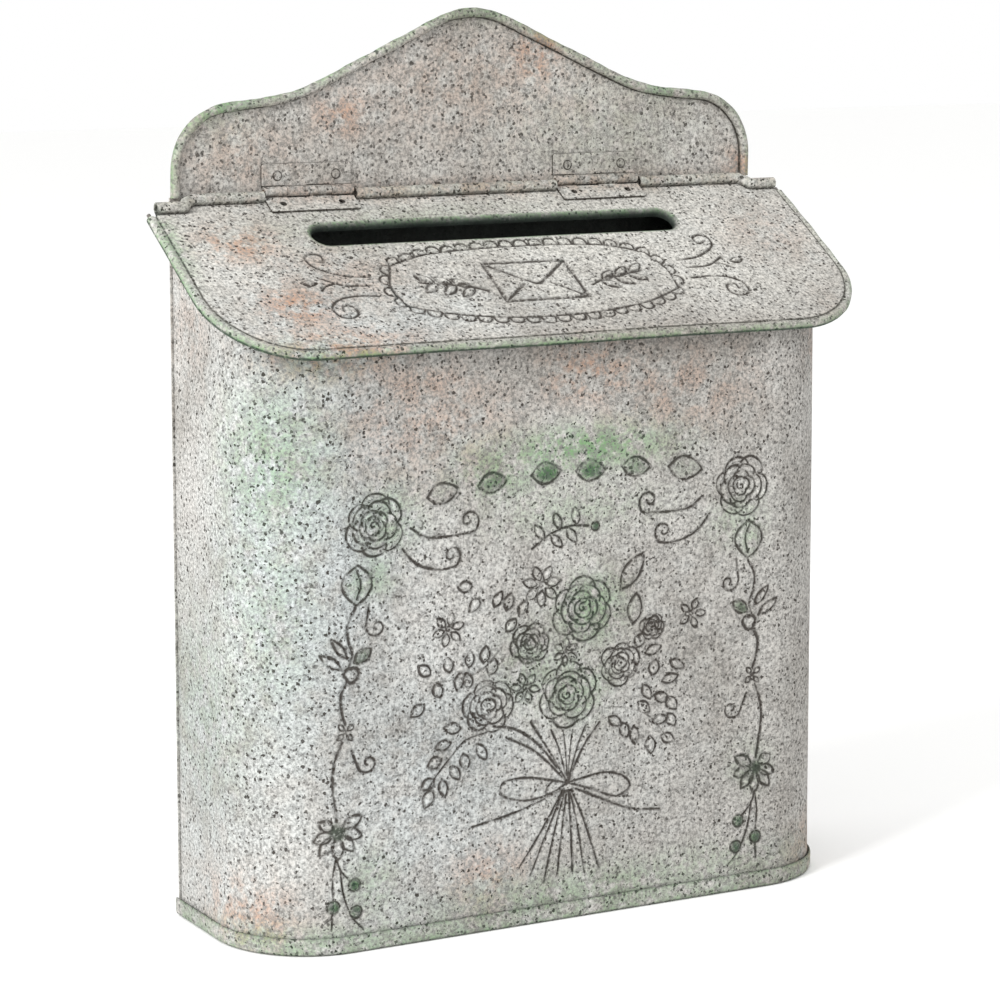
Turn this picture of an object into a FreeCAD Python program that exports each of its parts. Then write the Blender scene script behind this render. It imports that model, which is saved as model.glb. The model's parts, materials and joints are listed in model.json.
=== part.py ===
import FreeCAD, Part
import math
import os
import Sketcher
from FreeCAD import Placement, Rotation, Vector

# Wall mailbox in painted sheet steel. A flat back panel rises above the box as a crown. A shell bent from
# one strip makes the front and both sides, a pan closes the bottom, and a sloping lid with a letter slot
# turns on two butt hinges fixed to the back panel.
#
# Sizes are in millimetres. Everything is drawn from the middle of the box's underside, with the wall plane
# at y = 0 and the front towards -y. Every sub-part's Placement then brings the origin up to the point
# half-way between the two wall screws. The lid's own pieces are drawn flat about the hinge axis, and their
# Placement also tilts them to the lid's slope.

SIZES = [
    ("sheet_metal", 0.8, "thickness of the panel sheet"),
    ("box_width", 260.0, "outside width of the box"),
    ("box_depth", 75.7, "wall plane to the outside of the front"),
    ("corner_radius", 37.0, "outside radius of the two upright front corners"),
    ("hinge_height", 280.0, "underside of the box to the hinge axis"),
    ("lid_slope", 32.7, "fall of the lid towards the front, in degrees"),
    ("lid_side_overhang", 11.0, "box side to the middle of the lid's hem"),
    ("lid_front_overhang", 5.4, "box front to the middle of the lid's hem, along the slope"),
    ("lid_corner_radius", 36.0, "radius of the lid's front corners at the middle of the hem"),
    ("lid_rest_gap", 0.3, "play between the closed lid and the rim of the box"),
    ("hem_radius", 1.8, "outside radius of the wired hems"),
    ("hem_wire_radius", 0.8, "radius of the wire in the hems"),
    ("curl_radius", 2.3, "outside radius of the curl on the lid's rear edge"),
    ("curl_setback", 1.9, "hinge axis to the middle of the curl, along the slope"),
    ("curl_step", 4.4, "how far the curl's outer ends step forward to clear the crown's hem"),
    ("curl_step_inset", 8.0, "side of the box to the step in the curl"),
    ("curl_overrun", 1.0, "curl's end past the middle of the lid's hem"),
    ("crown_apex", 73.0, "hinge axis up to the corner point of the crown's peak"),
    ("crown_peak_radius", 38.0, "radius of the peak"),
    ("crown_hollow_height", 37.5, "hinge axis up to the corner point between flank and shoulder"),
    ("crown_hollow_inset", 52.2, "side of the box to that corner point"),
    ("crown_hollow_radius", 75.0, "radius between flank and shoulder"),
    ("crown_shoulder_height", 32.0, "hinge axis up to the corner point of the shoulder"),
    ("crown_shoulder_radius", 26.0, "radius of the shoulder"),
    ("crown_hem_start", 1.0, "start of the crown's hem below the hinge axis"),
    ("pan_rim_height", 6.5, "height of the rim around the foot of the box"),
    ("pan_play", 0.1, "play between the pan's rim and the shell"),
    ("shell_flange", 12.0, "width of the shell's two flanges on the back panel"),
    ("shell_rear_radius", 1.8, "outside radius of the bends to those flanges"),
    ("rim_fold", 6.0, "height of the safe edge folded inwards around the opening"),
    ("slot_width", 161.0, "width of the letter slot"),
    ("slot_height", 11.4, "height of the letter slot, along the slope"),
    ("slot_setback", 25.2, "hinge axis to the middle of the slot, along the slope"),
    ("slot_lip", 3.0, "depth of the lip turned down around the slot"),
    ("screw_spacing", 160.0, "distance between the two wall screws"),
    ("screw_height", 240.0, "underside of the box to the wall screws"),
    ("screw_hole_radius", 2.75, "radius of the holes for the wall screws"),
    ("hinge_width", 38.0, "length of each butt hinge"),
    ("hinge_left", -73.0, "middle of the left hinge, across the box"),
    ("hinge_right", 56.0, "middle of the right hinge, across the box"),
    ("leaf_length", 10.5, "hinge axis to the free edge of a leaf"),
    ("leaf_metal", 1.0, "thickness of a hinge leaf"),
    ("knuckle_radius", 2.0, "outside radius of the knuckles"),
    ("knuckle_play", 0.3, "play around and between the knuckles"),
    ("pin_radius", 1.0, "radius of the hinge pin"),
    ("pin_play", 0.05, "radial running clearance of the pin"),
    ("pin_overrun", 0.5, "how far each end of the pin stands out"),
    ("leaf_hole_spacing", 25.0, "distance between the two holes of a leaf"),
    ("leaf_hole_setback", 6.0, "hinge axis to the leaf's holes"),
    ("leaf_hole_radius", 1.4, "radius of the leaf's holes"),
    ("rivet_play", 0.05, "radial play of a rivet's shank in its holes"),
    ("rivet_head_radius", 2.3, "radius of a rivet's head"),
    ("rivet_head_height", 0.5, "height of a rivet's head"),
]

TANGENT_STEP = 0.1      # a rolled edge's tube passes its sheet's face by this much, so the two join cleanly
KNUCKLES = 4            # knuckles in each hinge, counted from the left
LID_KNUCKLES = (0, 2)
BACK_KNUCKLES = (1, 3)

doc = FreeCAD.newDocument("wall_mailbox")
sizes = doc.addObject("Spreadsheet::Sheet", "sizes")
for row, (alias, value, note) in enumerate(SIZES, start=1):
    sizes.set(f"A{row}", alias)
    sizes.set(f"B{row}", str(value))
    sizes.set(f"C{row}", note)
    sizes.setAlias(f"B{row}", alias)
doc.recompute()


class Size:
    """Reads a driving dimension by its name."""

    def __getattr__(self, alias):
        return float(sizes.get(alias))


size = Size()

SLOPE = math.radians(size.lid_slope)
HALF_WIDTH = size.box_width / 2
AXIS_Y = -(size.sheet_metal + size.knuckle_play + size.knuckle_radius)
LID_TOP = -(size.knuckle_radius + size.knuckle_play)          # lid's upper face below the hinge axis
LID_UNDERSIDE = LID_TOP - size.sheet_metal
HEM_DROP = LID_TOP - size.hem_radius + TANGENT_STEP           # middle of the lid's hem below the axis
LID_HALF_WIDTH = HALF_WIDTH + size.lid_side_overhang
HEM_START = size.hinge_height - size.crown_hem_start

AXIS_Y_RULE = "-(sizes.sheet_metal + sizes.knuckle_play + sizes.knuckle_radius)"
AXIS_Z_RULE = "sizes.hinge_height - sizes.screw_height"


def slope_run(y, rise):
    """Distance down the slope from the hinge axis to depth y, at this rise above the axis."""
    return (AXIS_Y - y - rise * math.sin(SLOPE)) / math.cos(SLOPE)


LID_LENGTH = slope_run(-size.box_depth, HEM_DROP) + size.lid_front_overhang


# ---- outlines: corner points with a radius at each -------------------------------------------------------

def offset_corners(corners, distance, closed):
    """Moves every side of an outline to its left by distance, and matches the corner radii."""
    count = len(corners)
    moved = []
    for index in range(count):
        x, y, radius = corners[index]
        here = Vector(x, y, 0)
        before = Vector(*corners[index - 1][:2], 0) if closed or index > 0 else None
        after = Vector(*corners[(index + 1) % count][:2], 0) if closed or index < count - 1 else None
        into = (here - before).normalize() if before is not None else (after - here).normalize()
        out = (after - here).normalize() if after is not None else into
        left_in = Vector(-into.y, into.x, 0)
        left_out = Vector(-out.y, out.x, 0)
        middle = left_in + left_out
        shift = middle * (2 * distance / middle.dot(middle))
        turn = into.x * out.y - into.y * out.x
        change = -distance if turn > 0 else distance
        new_radius = radius + change if radius > 0 else 0.0
        moved.append((x + shift.x, y + shift.y, new_radius))
    return moved


def outline_edges(corners, closed):
    """Lines and tangent arcs through the corner points."""
    count = len(corners)
    starts, ends, arcs = [], [], []
    for index in range(count):
        x, y, radius = corners[index]
        here = Vector(x, y, 0)
        is_end = not closed and index in (0, count - 1)
        if is_end or radius <= 0:
            starts.append(here)
            ends.append(here)
            arcs.append(None)
            continue
        before = Vector(*corners[index - 1][:2], 0)
        after = Vector(*corners[(index + 1) % count][:2], 0)
        into = (here - before).normalize()
        out = (after - here).normalize()
        turn = math.acos(max(-1.0, min(1.0, into.dot(out))))
        reach = radius * math.tan(turn / 2)
        first = here - into * reach
        last = here + out * reach
        bisector = (out - into).normalize()
        middle = here + bisector * (radius / math.cos(turn / 2) - radius)
        starts.append(first)
        ends.append(last)
        arcs.append(Part.Arc(first, middle, last))
    edges = []
    for index in range(count):
        if arcs[index] is not None:
            edges.append(arcs[index])
        if closed or index < count - 1:
            following = (index + 1) % count
            if ends[index].distanceToPoint(starts[following]) > 1e-6:
                edges.append(Part.LineSegment(ends[index], starts[following]))
    return edges


def attach(sketch, body, role, offset):
    """Lays a sketch on one of its body's origin planes, moved along the plane's normal."""
    plane = [item for item in body.Origin.OriginFeatures if item.Role == role][0]
    sketch.AttachmentSupport = [(plane, "")]
    sketch.MapMode = "FlatFace"
    sketch.AttachmentOffset = Placement(Vector(0, 0, offset), Rotation())


def outline_sketch(body, name, role, offset, outlines):
    """A sketch of one or more outlines, each a pair of corner points and closed or open."""
    sketch = body.newObject("Sketcher::SketchObject", name)
    attach(sketch, body, role, offset)
    for corners, closed in outlines:
        first = sketch.GeometryCount
        edges = outline_edges(corners, closed)
        sketch.addGeometry(edges, False)
        for index in range(first, first + len(edges)):
            sketch.addConstraint(Sketcher.Constraint("Block", index))
    return sketch


def circle_sketch(body, name, role, offset, circles):
    """A sketch of circles, each given as x, y and the rule for its radius."""
    sketch = body.newObject("Sketcher::SketchObject", name)
    attach(sketch, body, role, offset)
    for x, y, rule in circles:
        number = sketch.addGeometry(Part.Circle(Vector(x, y, 0), Vector(0, 0, 1), 1.0), False)
        sketch.addConstraint(Sketcher.Constraint("DistanceX", -1, 1, number, 3, x))
        sketch.addConstraint(Sketcher.Constraint("DistanceY", -1, 1, number, 3, y))
        radius = sketch.addConstraint(Sketcher.Constraint("Radius", number, 1.0))
        sketch.setExpression(f"Constraints[{radius}]", rule)
    return sketch


def pad(body, name, sketch, length_rule, downwards=False):
    feature = body.newObject("PartDesign::Pad", name)
    feature.Profile = sketch
    feature.setExpression("Length", length_rule)
    feature.Reversed = downwards
    doc.recompute()
    return feature


def pocket(body, name, sketch, length_rule=None):
    """Cuts a sketch out of the body: right through both ways, or to a length against the normal."""
    before = body.Shape.Volume
    feature = body.newObject("PartDesign::Pocket", name)
    feature.Profile = sketch
    if length_rule is None:
        feature.Type = "ThroughAll"
        feature.Midplane = True
    else:
        feature.setExpression("Length", length_rule)
    doc.recompute()
    if body.Shape.Volume >= before - 1e-6:
        raise RuntimeError(f"{name} cuts nothing")
    return feature


def pipe(body, name, path, profile):
    feature = body.newObject("PartDesign::AdditivePipe", name)
    feature.Spine = (path, [f"Edge{index + 1}" for index in range(path.GeometryCount)])
    feature.Profile = profile
    doc.recompute()
    return feature


def place_on_box(sub_part):
    """Brings a sub-part drawn from the underside of the box to the row's origin."""
    sub_part.setExpression("Placement.Base.z", "-sizes.screw_height")


def place_on_lid(sub_part):
    """Tilts a sub-part drawn flat about the hinge axis to the closed lid's slope."""
    sub_part.Placement = Placement(Vector(0, 0, 0), Rotation(Vector(1, 0, 0), 1.0))
    sub_part.setExpression("Placement.Rotation.Angle", "sizes.lid_slope")
    sub_part.setExpression("Placement.Base.y", AXIS_Y_RULE)
    sub_part.setExpression("Placement.Base.z", AXIS_Z_RULE)


def new_body(name):
    return doc.addObject("PartDesign::Body", name)


def box_corners():
    """Plan of the shell's outside, counter-clockwise from the rear left: rear bends, then front corners."""
    rear = -size.sheet_metal
    front = -size.box_depth
    return [
        (-HALF_WIDTH, rear, size.shell_rear_radius),
        (-HALF_WIDTH, front, size.corner_radius),
        (HALF_WIDTH, front, size.corner_radius),
        (HALF_WIDTH, rear, size.shell_rear_radius),
    ]


def crown_corners():
    """Outline of the crown from its left foot over the peak to its right foot."""
    axis = size.hinge_height
    hollow_x = HALF_WIDTH - size.crown_hollow_inset
    hollow_z = axis + size.crown_hollow_height
    shoulder_z = axis + size.crown_shoulder_height
    return [
        (-HALF_WIDTH, HEM_START, 0),
        (-HALF_WIDTH, shoulder_z, size.crown_shoulder_radius),
        (-hollow_x, hollow_z, size.crown_hollow_radius),
        (0, axis + size.crown_apex, size.crown_peak_radius),
        (hollow_x, hollow_z, size.crown_hollow_radius),
        (HALF_WIDTH, shoulder_z, size.crown_shoulder_radius),
        (HALF_WIDTH, HEM_START, 0),
    ]


def crown_hem_path():
    return offset_corners(crown_corners(), -size.hem_radius, closed=False)


def hinge_hole_places(setback):
    """Places of the four leaf holes, across the box, at this distance from the hinge axis."""
    middles = (size.hinge_left, size.hinge_right)
    return [(middle + side * size.leaf_hole_spacing / 2, setback) for middle in middles for side in (-1, 1)]


# ---- back panel: flat sheet with the crown's edge rolled forward over a wire -----------------------------

CROWN_HEM_Y = size.hem_radius + TANGENT_STEP        # middle of the hem in front of the wall plane


def build_back_panel():
    body = new_body("back_panel")
    path = crown_hem_path()
    foot = size.sheet_metal
    sides = [
        (HALF_WIDTH, HEM_START, 0),
        (HALF_WIDTH, foot, 0),
        (-HALF_WIDTH, foot, 0),
        (-HALF_WIDTH, HEM_START, 0),
    ]
    panel = outline_sketch(body, "panel_outline", "XZ_Plane", 0, [(path + sides, True)])
    pad(body, "panel_sheet", panel, "sizes.sheet_metal")
    spine = outline_sketch(body, "panel_hem_path", "XZ_Plane", CROWN_HEM_Y, [(path, False)])
    ring = circle_sketch(body, "panel_hem_section", "XY_Plane", HEM_START, [
        (path[0][0], -CROWN_HEM_Y, "sizes.hem_radius"),
        (path[0][0], -CROWN_HEM_Y, "sizes.hem_radius - sizes.sheet_metal"),
    ])
    pipe(body, "panel_hem", spine, ring)
    half_spacing = size.screw_spacing / 2
    holes = [(side * half_spacing, size.screw_height, "sizes.screw_hole_radius") for side in (-1, 1)]
    rivet_height = size.hinge_height + size.leaf_hole_setback
    holes += [(x, z, "sizes.leaf_hole_radius") for x, z in hinge_hole_places(rivet_height)]
    pocket(body, "panel_hole_cut", circle_sketch(body, "panel_holes", "XZ_Plane", 0, holes))
    place_on_box(body)
    return body


def build_crown_wire():
    body = new_body("crown_wire")
    path = crown_hem_path()
    spine = outline_sketch(body, "crown_wire_path", "XZ_Plane", CROWN_HEM_Y, [(path, False)])
    section = circle_sketch(body, "crown_wire_section", "XY_Plane", HEM_START, [
        (path[0][0], -CROWN_HEM_Y, "sizes.hem_wire_radius"),
    ])
    pipe(body, "crown_wire_bend", spine, section)
    place_on_box(body)
    return body


# ---- front shell: one strip bent round the front, its mouth cut to the lid's slope -----------------------

def prism(name, role, corners, offset, length):
    """A solid from a closed outline, drawn on a plane through the origin and pushed along its normal."""
    turn = {"XY": Rotation(), "YZ": Rotation(Vector(1, 1, 1), 120)}[role]
    sketch = doc.addObject("Sketcher::SketchObject", f"{name}_outline")
    sketch.Placement = Placement(turn.multVec(Vector(0, 0, offset)), turn)
    edges = outline_edges(corners, True)
    sketch.addGeometry(edges, False)
    for index in range(len(edges)):
        sketch.addConstraint(Sketcher.Constraint("Block", index))
    solid = doc.addObject("Part::Extrusion", name)
    solid.Base = sketch
    solid.DirMode = "Normal"
    solid.LengthFwd = length
    solid.Solid = True
    return solid


def below_slope(name, rise):
    """Everything in the box below a plane parallel to the lid, at this rise from the hinge axis."""
    past = 20.0
    rear, front = past, -size.box_depth - past

    def height(y):
        run = slope_run(y, rise)
        return size.hinge_height - run * math.sin(SLOPE) + rise * math.cos(SLOPE)

    corners = [(rear, -past, 0), (rear, height(rear), 0), (front, height(front), 0), (front, -past, 0)]
    return prism(name, "YZ", corners, -HALF_WIDTH - past, size.box_width + 2 * past)


def boolean(kind, name, base, tool):
    result = doc.addObject(f"Part::{kind}", name)
    result.Base = base
    result.Tool = tool
    return result


def fuse(name, shapes):
    result = doc.addObject("Part::MultiFuse", name)
    result.Shapes = shapes
    return result


def build_front_shell():
    foot = size.sheet_metal
    height = size.hinge_height
    outside = box_corners()
    inside = offset_corners(outside, size.sheet_metal, closed=True)
    fold = offset_corners(inside, size.sheet_metal, closed=True)
    mouth = LID_UNDERSIDE - size.lid_rest_gap
    wall = boolean("Cut", "shell_wall", prism("shell_outside", "XY", outside, foot, height),
                   prism("shell_inside", "XY", inside, foot, height))
    edge = boolean("Cut", "shell_fold", prism("shell_fold_outside", "XY", inside, foot, height),
                   prism("shell_fold_inside", "XY", fold, foot, height))
    edge = boolean("Cut", "shell_fold_band", edge, below_slope("below_fold", mouth - size.rim_fold))
    tube = fuse("shell_tube", [wall, edge])
    tube = boolean("Common", "shell_cut_to_slope", tube, below_slope("below_lid", mouth))
    opening = doc.addObject("Part::Box", "shell_rear_opening")
    opening.setExpression("Length", "sizes.box_width - 2 * sizes.shell_flange")
    opening.setExpression("Width", "3 * sizes.sheet_metal")
    opening.setExpression("Height", "2 * sizes.hinge_height")
    opening.setExpression("Placement.Base.x", "-sizes.box_width / 2 + sizes.shell_flange")
    opening.setExpression("Placement.Base.y", "-3 * sizes.sheet_metal")
    shell = boolean("Cut", "front_shell", tube, opening)
    place_on_box(shell)
    return shell


# ---- bottom pan: plate with a rim standing up around the shell's foot ------------------------------------

def build_bottom_pan():
    body = new_body("bottom_pan")
    inner_gap = size.pan_play
    outer_gap = size.pan_play + size.sheet_metal
    front = -size.box_depth

    def plan(gap, rear):
        half = HALF_WIDTH + gap
        radius = size.corner_radius + gap
        return [(-half, rear, 0), (-half, front - gap, radius), (half, front - gap, radius), (half, rear, 0)]

    outer = outline_sketch(body, "pan_outline", "XY_Plane", 0, [(plan(outer_gap, 0), True)])
    pad(body, "pan_block", outer, "sizes.pan_rim_height")
    inner = outline_sketch(body, "pan_hollow", "XY_Plane", size.pan_rim_height, [(plan(inner_gap, 1), True)])
    pocket(body, "pan_hollow_cut", inner, "sizes.pan_rim_height - sizes.sheet_metal")
    place_on_box(body)
    return body


# ---- lid: sheet with a curl along the rear, a wired hem round the other sides, and the letter slot -------

def curl_height():
    """Middle of the rear curl above the hinge axis: the curl stands on the lid."""
    return LID_UNDERSIDE + size.curl_radius - TANGENT_STEP


def curl_runs():
    """The curl's three stretches between the hinges, from the left, as corner points."""
    near = -size.curl_setback
    far = near - size.curl_step
    bend = size.curl_step
    step = HALF_WIDTH - size.curl_step_inset
    end = LID_HALF_WIDTH + size.curl_overrun
    beside = size.hinge_width / 2 + size.pin_overrun + size.knuckle_play
    left = [
        (-end, far, 0), (-step - bend, far, bend), (-step, near, bend), (size.hinge_left - beside, near, 0),
    ]
    middle = [(size.hinge_left + beside, near, 0), (size.hinge_right - beside, near, 0)]
    right = [
        (size.hinge_right + beside, near, 0), (step, near, bend), (step + bend, far, bend), (end, far, 0),
    ]
    return [left, middle, right]


def lid_corners():
    """Outline of the lid's sheet, to the middle of its hem and curl."""
    near = -size.curl_setback
    far = near - size.curl_step
    step = HALF_WIDTH - size.curl_step_inset
    half = LID_HALF_WIDTH
    radius = size.lid_corner_radius
    return [
        (-half, far, 0), (-half, -LID_LENGTH, radius), (half, -LID_LENGTH, radius), (half, far, 0),
        (step + size.curl_step, far, 0), (step, near, 0), (-step, near, 0), (-step - size.curl_step, far, 0),
    ]


def slot_corners(grow):
    half = size.slot_width / 2 + grow
    rise = size.slot_height / 2 + grow
    middle = -size.slot_setback
    return [(-half, middle + rise, rise), (-half, middle - rise, rise),
            (half, middle - rise, rise), (half, middle + rise, rise)]


def build_lid_panel():
    body = new_body("lid_panel")
    sheet = outline_sketch(body, "lid_outline", "XY_Plane", LID_TOP, [(lid_corners(), True)])
    pad(body, "lid_sheet", sheet, "sizes.sheet_metal", downwards=True)
    for number, run in enumerate(curl_runs(), start=1):
        spine = outline_sketch(body, f"curl_path_{number}", "XY_Plane", curl_height(), [(run, False)])
        ring = circle_sketch(body, f"curl_section_{number}", "YZ_Plane", run[0][0], [
            (run[0][1], curl_height(), "sizes.curl_radius"),
            (run[0][1], curl_height(), "sizes.curl_radius - sizes.sheet_metal"),
        ])
        pipe(body, f"curl_{number}", spine, ring)
    path = lid_corners()[:4]
    spine = outline_sketch(body, "lid_hem_path", "XY_Plane", HEM_DROP, [(path, False)])
    ring = circle_sketch(body, "lid_hem_section", "XZ_Plane", -path[0][1], [
        (path[0][0], HEM_DROP, "sizes.hem_radius"),
        (path[0][0], HEM_DROP, "sizes.hem_radius - sizes.sheet_metal"),
    ])
    pipe(body, "lid_hem", spine, ring)
    lip_edge = slot_corners(size.sheet_metal)
    lip = outline_sketch(body, "slot_lip_outline", "XY_Plane", LID_TOP, [(lip_edge, True)])
    pad(body, "slot_lip", lip, "sizes.slot_lip", downwards=True)
    slot = outline_sketch(body, "slot_outline", "XY_Plane", LID_TOP, [(slot_corners(0), True)])
    pocket(body, "slot_cut", slot)
    holes = [(x, y, "sizes.leaf_hole_radius") for x, y in hinge_hole_places(-size.leaf_hole_setback)]
    pocket(body, "lid_hole_cut", circle_sketch(body, "lid_holes", "XY_Plane", LID_TOP, holes))
    place_on_lid(body)
    return body


def build_lid_edge_wire():
    body = new_body("lid_edge_wire")
    path = lid_corners()[:4]
    spine = outline_sketch(body, "lid_wire_path", "XY_Plane", HEM_DROP, [(path, False)])
    section = circle_sketch(body, "lid_wire_section", "XZ_Plane", -path[0][1], [
        (path[0][0], HEM_DROP, "sizes.hem_wire_radius"),
    ])
    pipe(body, "lid_wire_bend", spine, section)
    place_on_lid(body)
    return body


# ---- butt hinges: two leaves with interleaved knuckles on a pin ------------------------------------------

def cylinder(name, radius_rule, length_rule, axis, x_rule="0", y_rule="0", z_rule="0"):
    """A cylinder whose rules say its radius, its length and where its first end stands."""
    turn = {"X": Rotation(Vector(0, 1, 0), 90), "Y": Rotation(Vector(1, 0, 0), -90)}[axis]
    solid = doc.addObject("Part::Cylinder", name)
    solid.Placement = Placement(Vector(), turn)
    solid.setExpression("Radius", radius_rule)
    solid.setExpression("Height", length_rule)
    for letter, rule in (("x", x_rule), ("y", y_rule), ("z", z_rule)):
        solid.setExpression(f"Placement.Base.{letter}", rule)
    return solid


def block(name, lengths, corner):
    """A box whose rules say its three lengths and its lowest corner."""
    solid = doc.addObject("Part::Box", name)
    for property_name, rule in zip(("Length", "Width", "Height"), lengths):
        solid.setExpression(property_name, rule)
    for letter, rule in zip("xyz", corner):
        solid.setExpression(f"Placement.Base.{letter}", rule)
    return solid


def build_leaf(name, middle_rule, knuckles, side):
    """A leaf standing up from the axis, its plate on the +y side (side 1) or the -y side (side -1)."""
    face = "(sizes.knuckle_radius + sizes.knuckle_play)"
    plate_y = f"{face} - sizes.leaf_metal" if side > 0 else f"-{face}"
    left_edge = f"{middle_rule} - sizes.hinge_width / 2"
    pieces = [block(f"{name}_plate", ("sizes.hinge_width", "sizes.leaf_metal", f"sizes.leaf_length - {face}"),
                    (left_edge, plate_y, face))]
    for number in knuckles:
        start = f"{left_edge} + {number} * sizes.hinge_width / {KNUCKLES} + sizes.knuckle_play / 2"
        length = f"sizes.hinge_width / {KNUCKLES} - sizes.knuckle_play"
        pieces.append(cylinder(f"{name}_knuckle_{number}", "sizes.knuckle_radius", length, "X", start))
        neck = (length, "sizes.leaf_metal", face)
        pieces.append(block(f"{name}_neck_{number}", neck, (start, plate_y, "0")))
    bore = cylinder(f"{name}_bore", "sizes.pin_radius + sizes.pin_play", "sizes.hinge_width + 2", "X",
                    f"{left_edge} - 1")
    cuts = [bore]
    for number, sign in enumerate("-+"):
        cuts.append(cylinder(f"{name}_hole_{number}", "sizes.leaf_hole_radius", f"4 * {face}", "Y",
                             f"{middle_rule} {sign} sizes.leaf_hole_spacing / 2", f"-2 * {face}",
                             "sizes.leaf_hole_setback"))
    return boolean("Cut", name, fuse(f"{name}_blank", pieces), fuse(f"{name}_cuts", cuts))


def build_hinge(label, middle_rule):
    back = build_leaf(f"{label}_hinge_back_leaf", middle_rule, BACK_KNUCKLES, 1)
    back.setExpression("Placement.Base.y", AXIS_Y_RULE)
    back.setExpression("Placement.Base.z", AXIS_Z_RULE)
    lid = build_leaf(f"{label}_hinge_lid_leaf", middle_rule, LID_KNUCKLES, -1)
    place_on_lid(lid)
    lid.setExpression("Placement.Rotation.Angle", "sizes.lid_slope + 90")
    pin = cylinder(f"{label}_hinge_pin", "sizes.pin_radius", "sizes.hinge_width + 2 * sizes.pin_overrun", "X",
                   f"{middle_rule} - sizes.hinge_width / 2 - sizes.pin_overrun", AXIS_Y_RULE, AXIS_Z_RULE)
    return [back, lid, pin]


def build_hinge_rivets():
    """Four rivets through the back leaves and the panel, their tails dressed flush with the wall plane."""
    height = f"{AXIS_Z_RULE} + sizes.leaf_hole_setback"
    grip = "(sizes.sheet_metal + sizes.leaf_metal)"
    pieces = []
    for middle in ("left", "right"):
        for sign in "-+":
            across = f"sizes.hinge_{middle} {sign} sizes.leaf_hole_spacing / 2"
            name = f"{middle}_{'inner' if sign == '+' else 'outer'}"
            shank = "sizes.leaf_hole_radius - sizes.rivet_play"
            pieces.append(cylinder(f"rivet_shank_{name}", shank, grip, "Y", across, f"-{grip}", height))
            head = doc.addObject("Part::Cone", f"rivet_head_{name}")
            head.Placement = Placement(Vector(), Rotation(Vector(1, 0, 0), 90))
            head.setExpression("Radius1", "sizes.rivet_head_radius")
            head.setExpression("Radius2", "sizes.rivet_head_radius * 0.6")
            head.setExpression("Height", "sizes.rivet_head_height")
            head.setExpression("Placement.Base.x", across)
            head.setExpression("Placement.Base.y", f"-{grip}")
            head.setExpression("Placement.Base.z", height)
            pieces.append(head)
    return fuse("hinge_rivets", pieces)


# ---- build, check and write ------------------------------------------------------------------------------

sub_parts = [
    build_back_panel(),
    build_crown_wire(),
    build_front_shell(),
    build_bottom_pan(),
    build_lid_panel(),
    build_lid_edge_wire(),
    *build_hinge("left", "sizes.hinge_left"),
    *build_hinge("right", "sizes.hinge_right"),
    build_hinge_rivets(),
]
doc.recompute()

for item in doc.Objects:
    if "Invalid" in item.State or "Error" in item.State:
        raise RuntimeError(f"{item.Label} failed: {item.State}")
for sub_part in sub_parts:
    if sub_part.Shape.isNull() or not sub_part.Shape.isValid() or not sub_part.Shape.Solids:
        raise RuntimeError(f"{sub_part.Label} has no valid solid")

os.makedirs("parts", exist_ok=True)
for sub_part in sub_parts:
    sub_part.Shape.exportStep(f"parts/{sub_part.Label}.step")
    box = sub_part.Shape.BoundBox
    print(sub_part.Label, len(sub_part.Shape.Solids), round(sub_part.Shape.Volume, 1),
          [round(value, 1) for value in (box.XMin, box.YMin, box.ZMin, box.XMax, box.YMax, box.ZMax)])
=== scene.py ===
import json
import math

import bmesh
import bpy
import numpy as np
from mathutils import Matrix, Vector, geometry


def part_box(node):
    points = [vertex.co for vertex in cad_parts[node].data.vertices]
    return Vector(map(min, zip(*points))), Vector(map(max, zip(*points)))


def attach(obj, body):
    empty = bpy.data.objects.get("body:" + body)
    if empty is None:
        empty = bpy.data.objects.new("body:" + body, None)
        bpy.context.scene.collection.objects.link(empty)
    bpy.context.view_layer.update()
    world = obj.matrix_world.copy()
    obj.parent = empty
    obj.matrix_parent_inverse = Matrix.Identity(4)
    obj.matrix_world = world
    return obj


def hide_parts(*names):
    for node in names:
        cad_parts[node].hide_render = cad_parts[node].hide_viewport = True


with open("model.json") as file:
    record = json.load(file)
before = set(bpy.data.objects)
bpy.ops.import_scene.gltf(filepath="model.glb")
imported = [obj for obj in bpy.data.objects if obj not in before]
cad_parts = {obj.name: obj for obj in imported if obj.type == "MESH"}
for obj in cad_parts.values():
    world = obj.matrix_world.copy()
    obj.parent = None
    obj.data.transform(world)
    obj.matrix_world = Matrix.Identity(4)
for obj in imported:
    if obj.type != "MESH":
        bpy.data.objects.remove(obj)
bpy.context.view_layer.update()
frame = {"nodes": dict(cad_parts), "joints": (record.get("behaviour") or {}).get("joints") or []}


# ---- front shell -------------------------------------------------------------------------------------
# One strip of 0.8 mm mild steel, bent round the front and both sides and spot-welded to the back panel by two
# flanges. Its mouth is cut to the lid's slope and folded inwards to a safe edge. Flowers and scrolls are
# pressed into the front, and the whole box has a chalky grey paint with dark speckle, moss and rust.

MM = 0.001
SHEET = 0.8
HALF_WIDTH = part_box("front_shell")[1][0] / MM
FRONT_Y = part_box("front_shell")[0][1] / MM
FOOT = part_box("bottom_pan")[0][2] / MM
HINGE = next(joint for joint in frame["joints"] if joint["name"] == "lid_hinge")
AXIS_Y, AXIS_Z = (value / MM for value in HINGE["pos_m"][1:])
SLOPE = math.radians(32.7)
LID_TOP = -2.3                  # the lid's upper face, below the hinge axis
FRONT_CORNER = 37.0
REAR_BEND = 1.8
FLANGE = 12.0
RIM_FOLD = 6.0
MOUTH_PLAY = 0.3
FOOT_FLARE, FLARE_HEIGHT = 0.35, 14.0
PITCH = 3.2                     # spacing of a plain face's mesh, and half that of a sheet's lower face
EDGE_GAP = 0.9                  # least distance of a face's inner points from its edge

random = np.random.default_rng(12)


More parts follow.
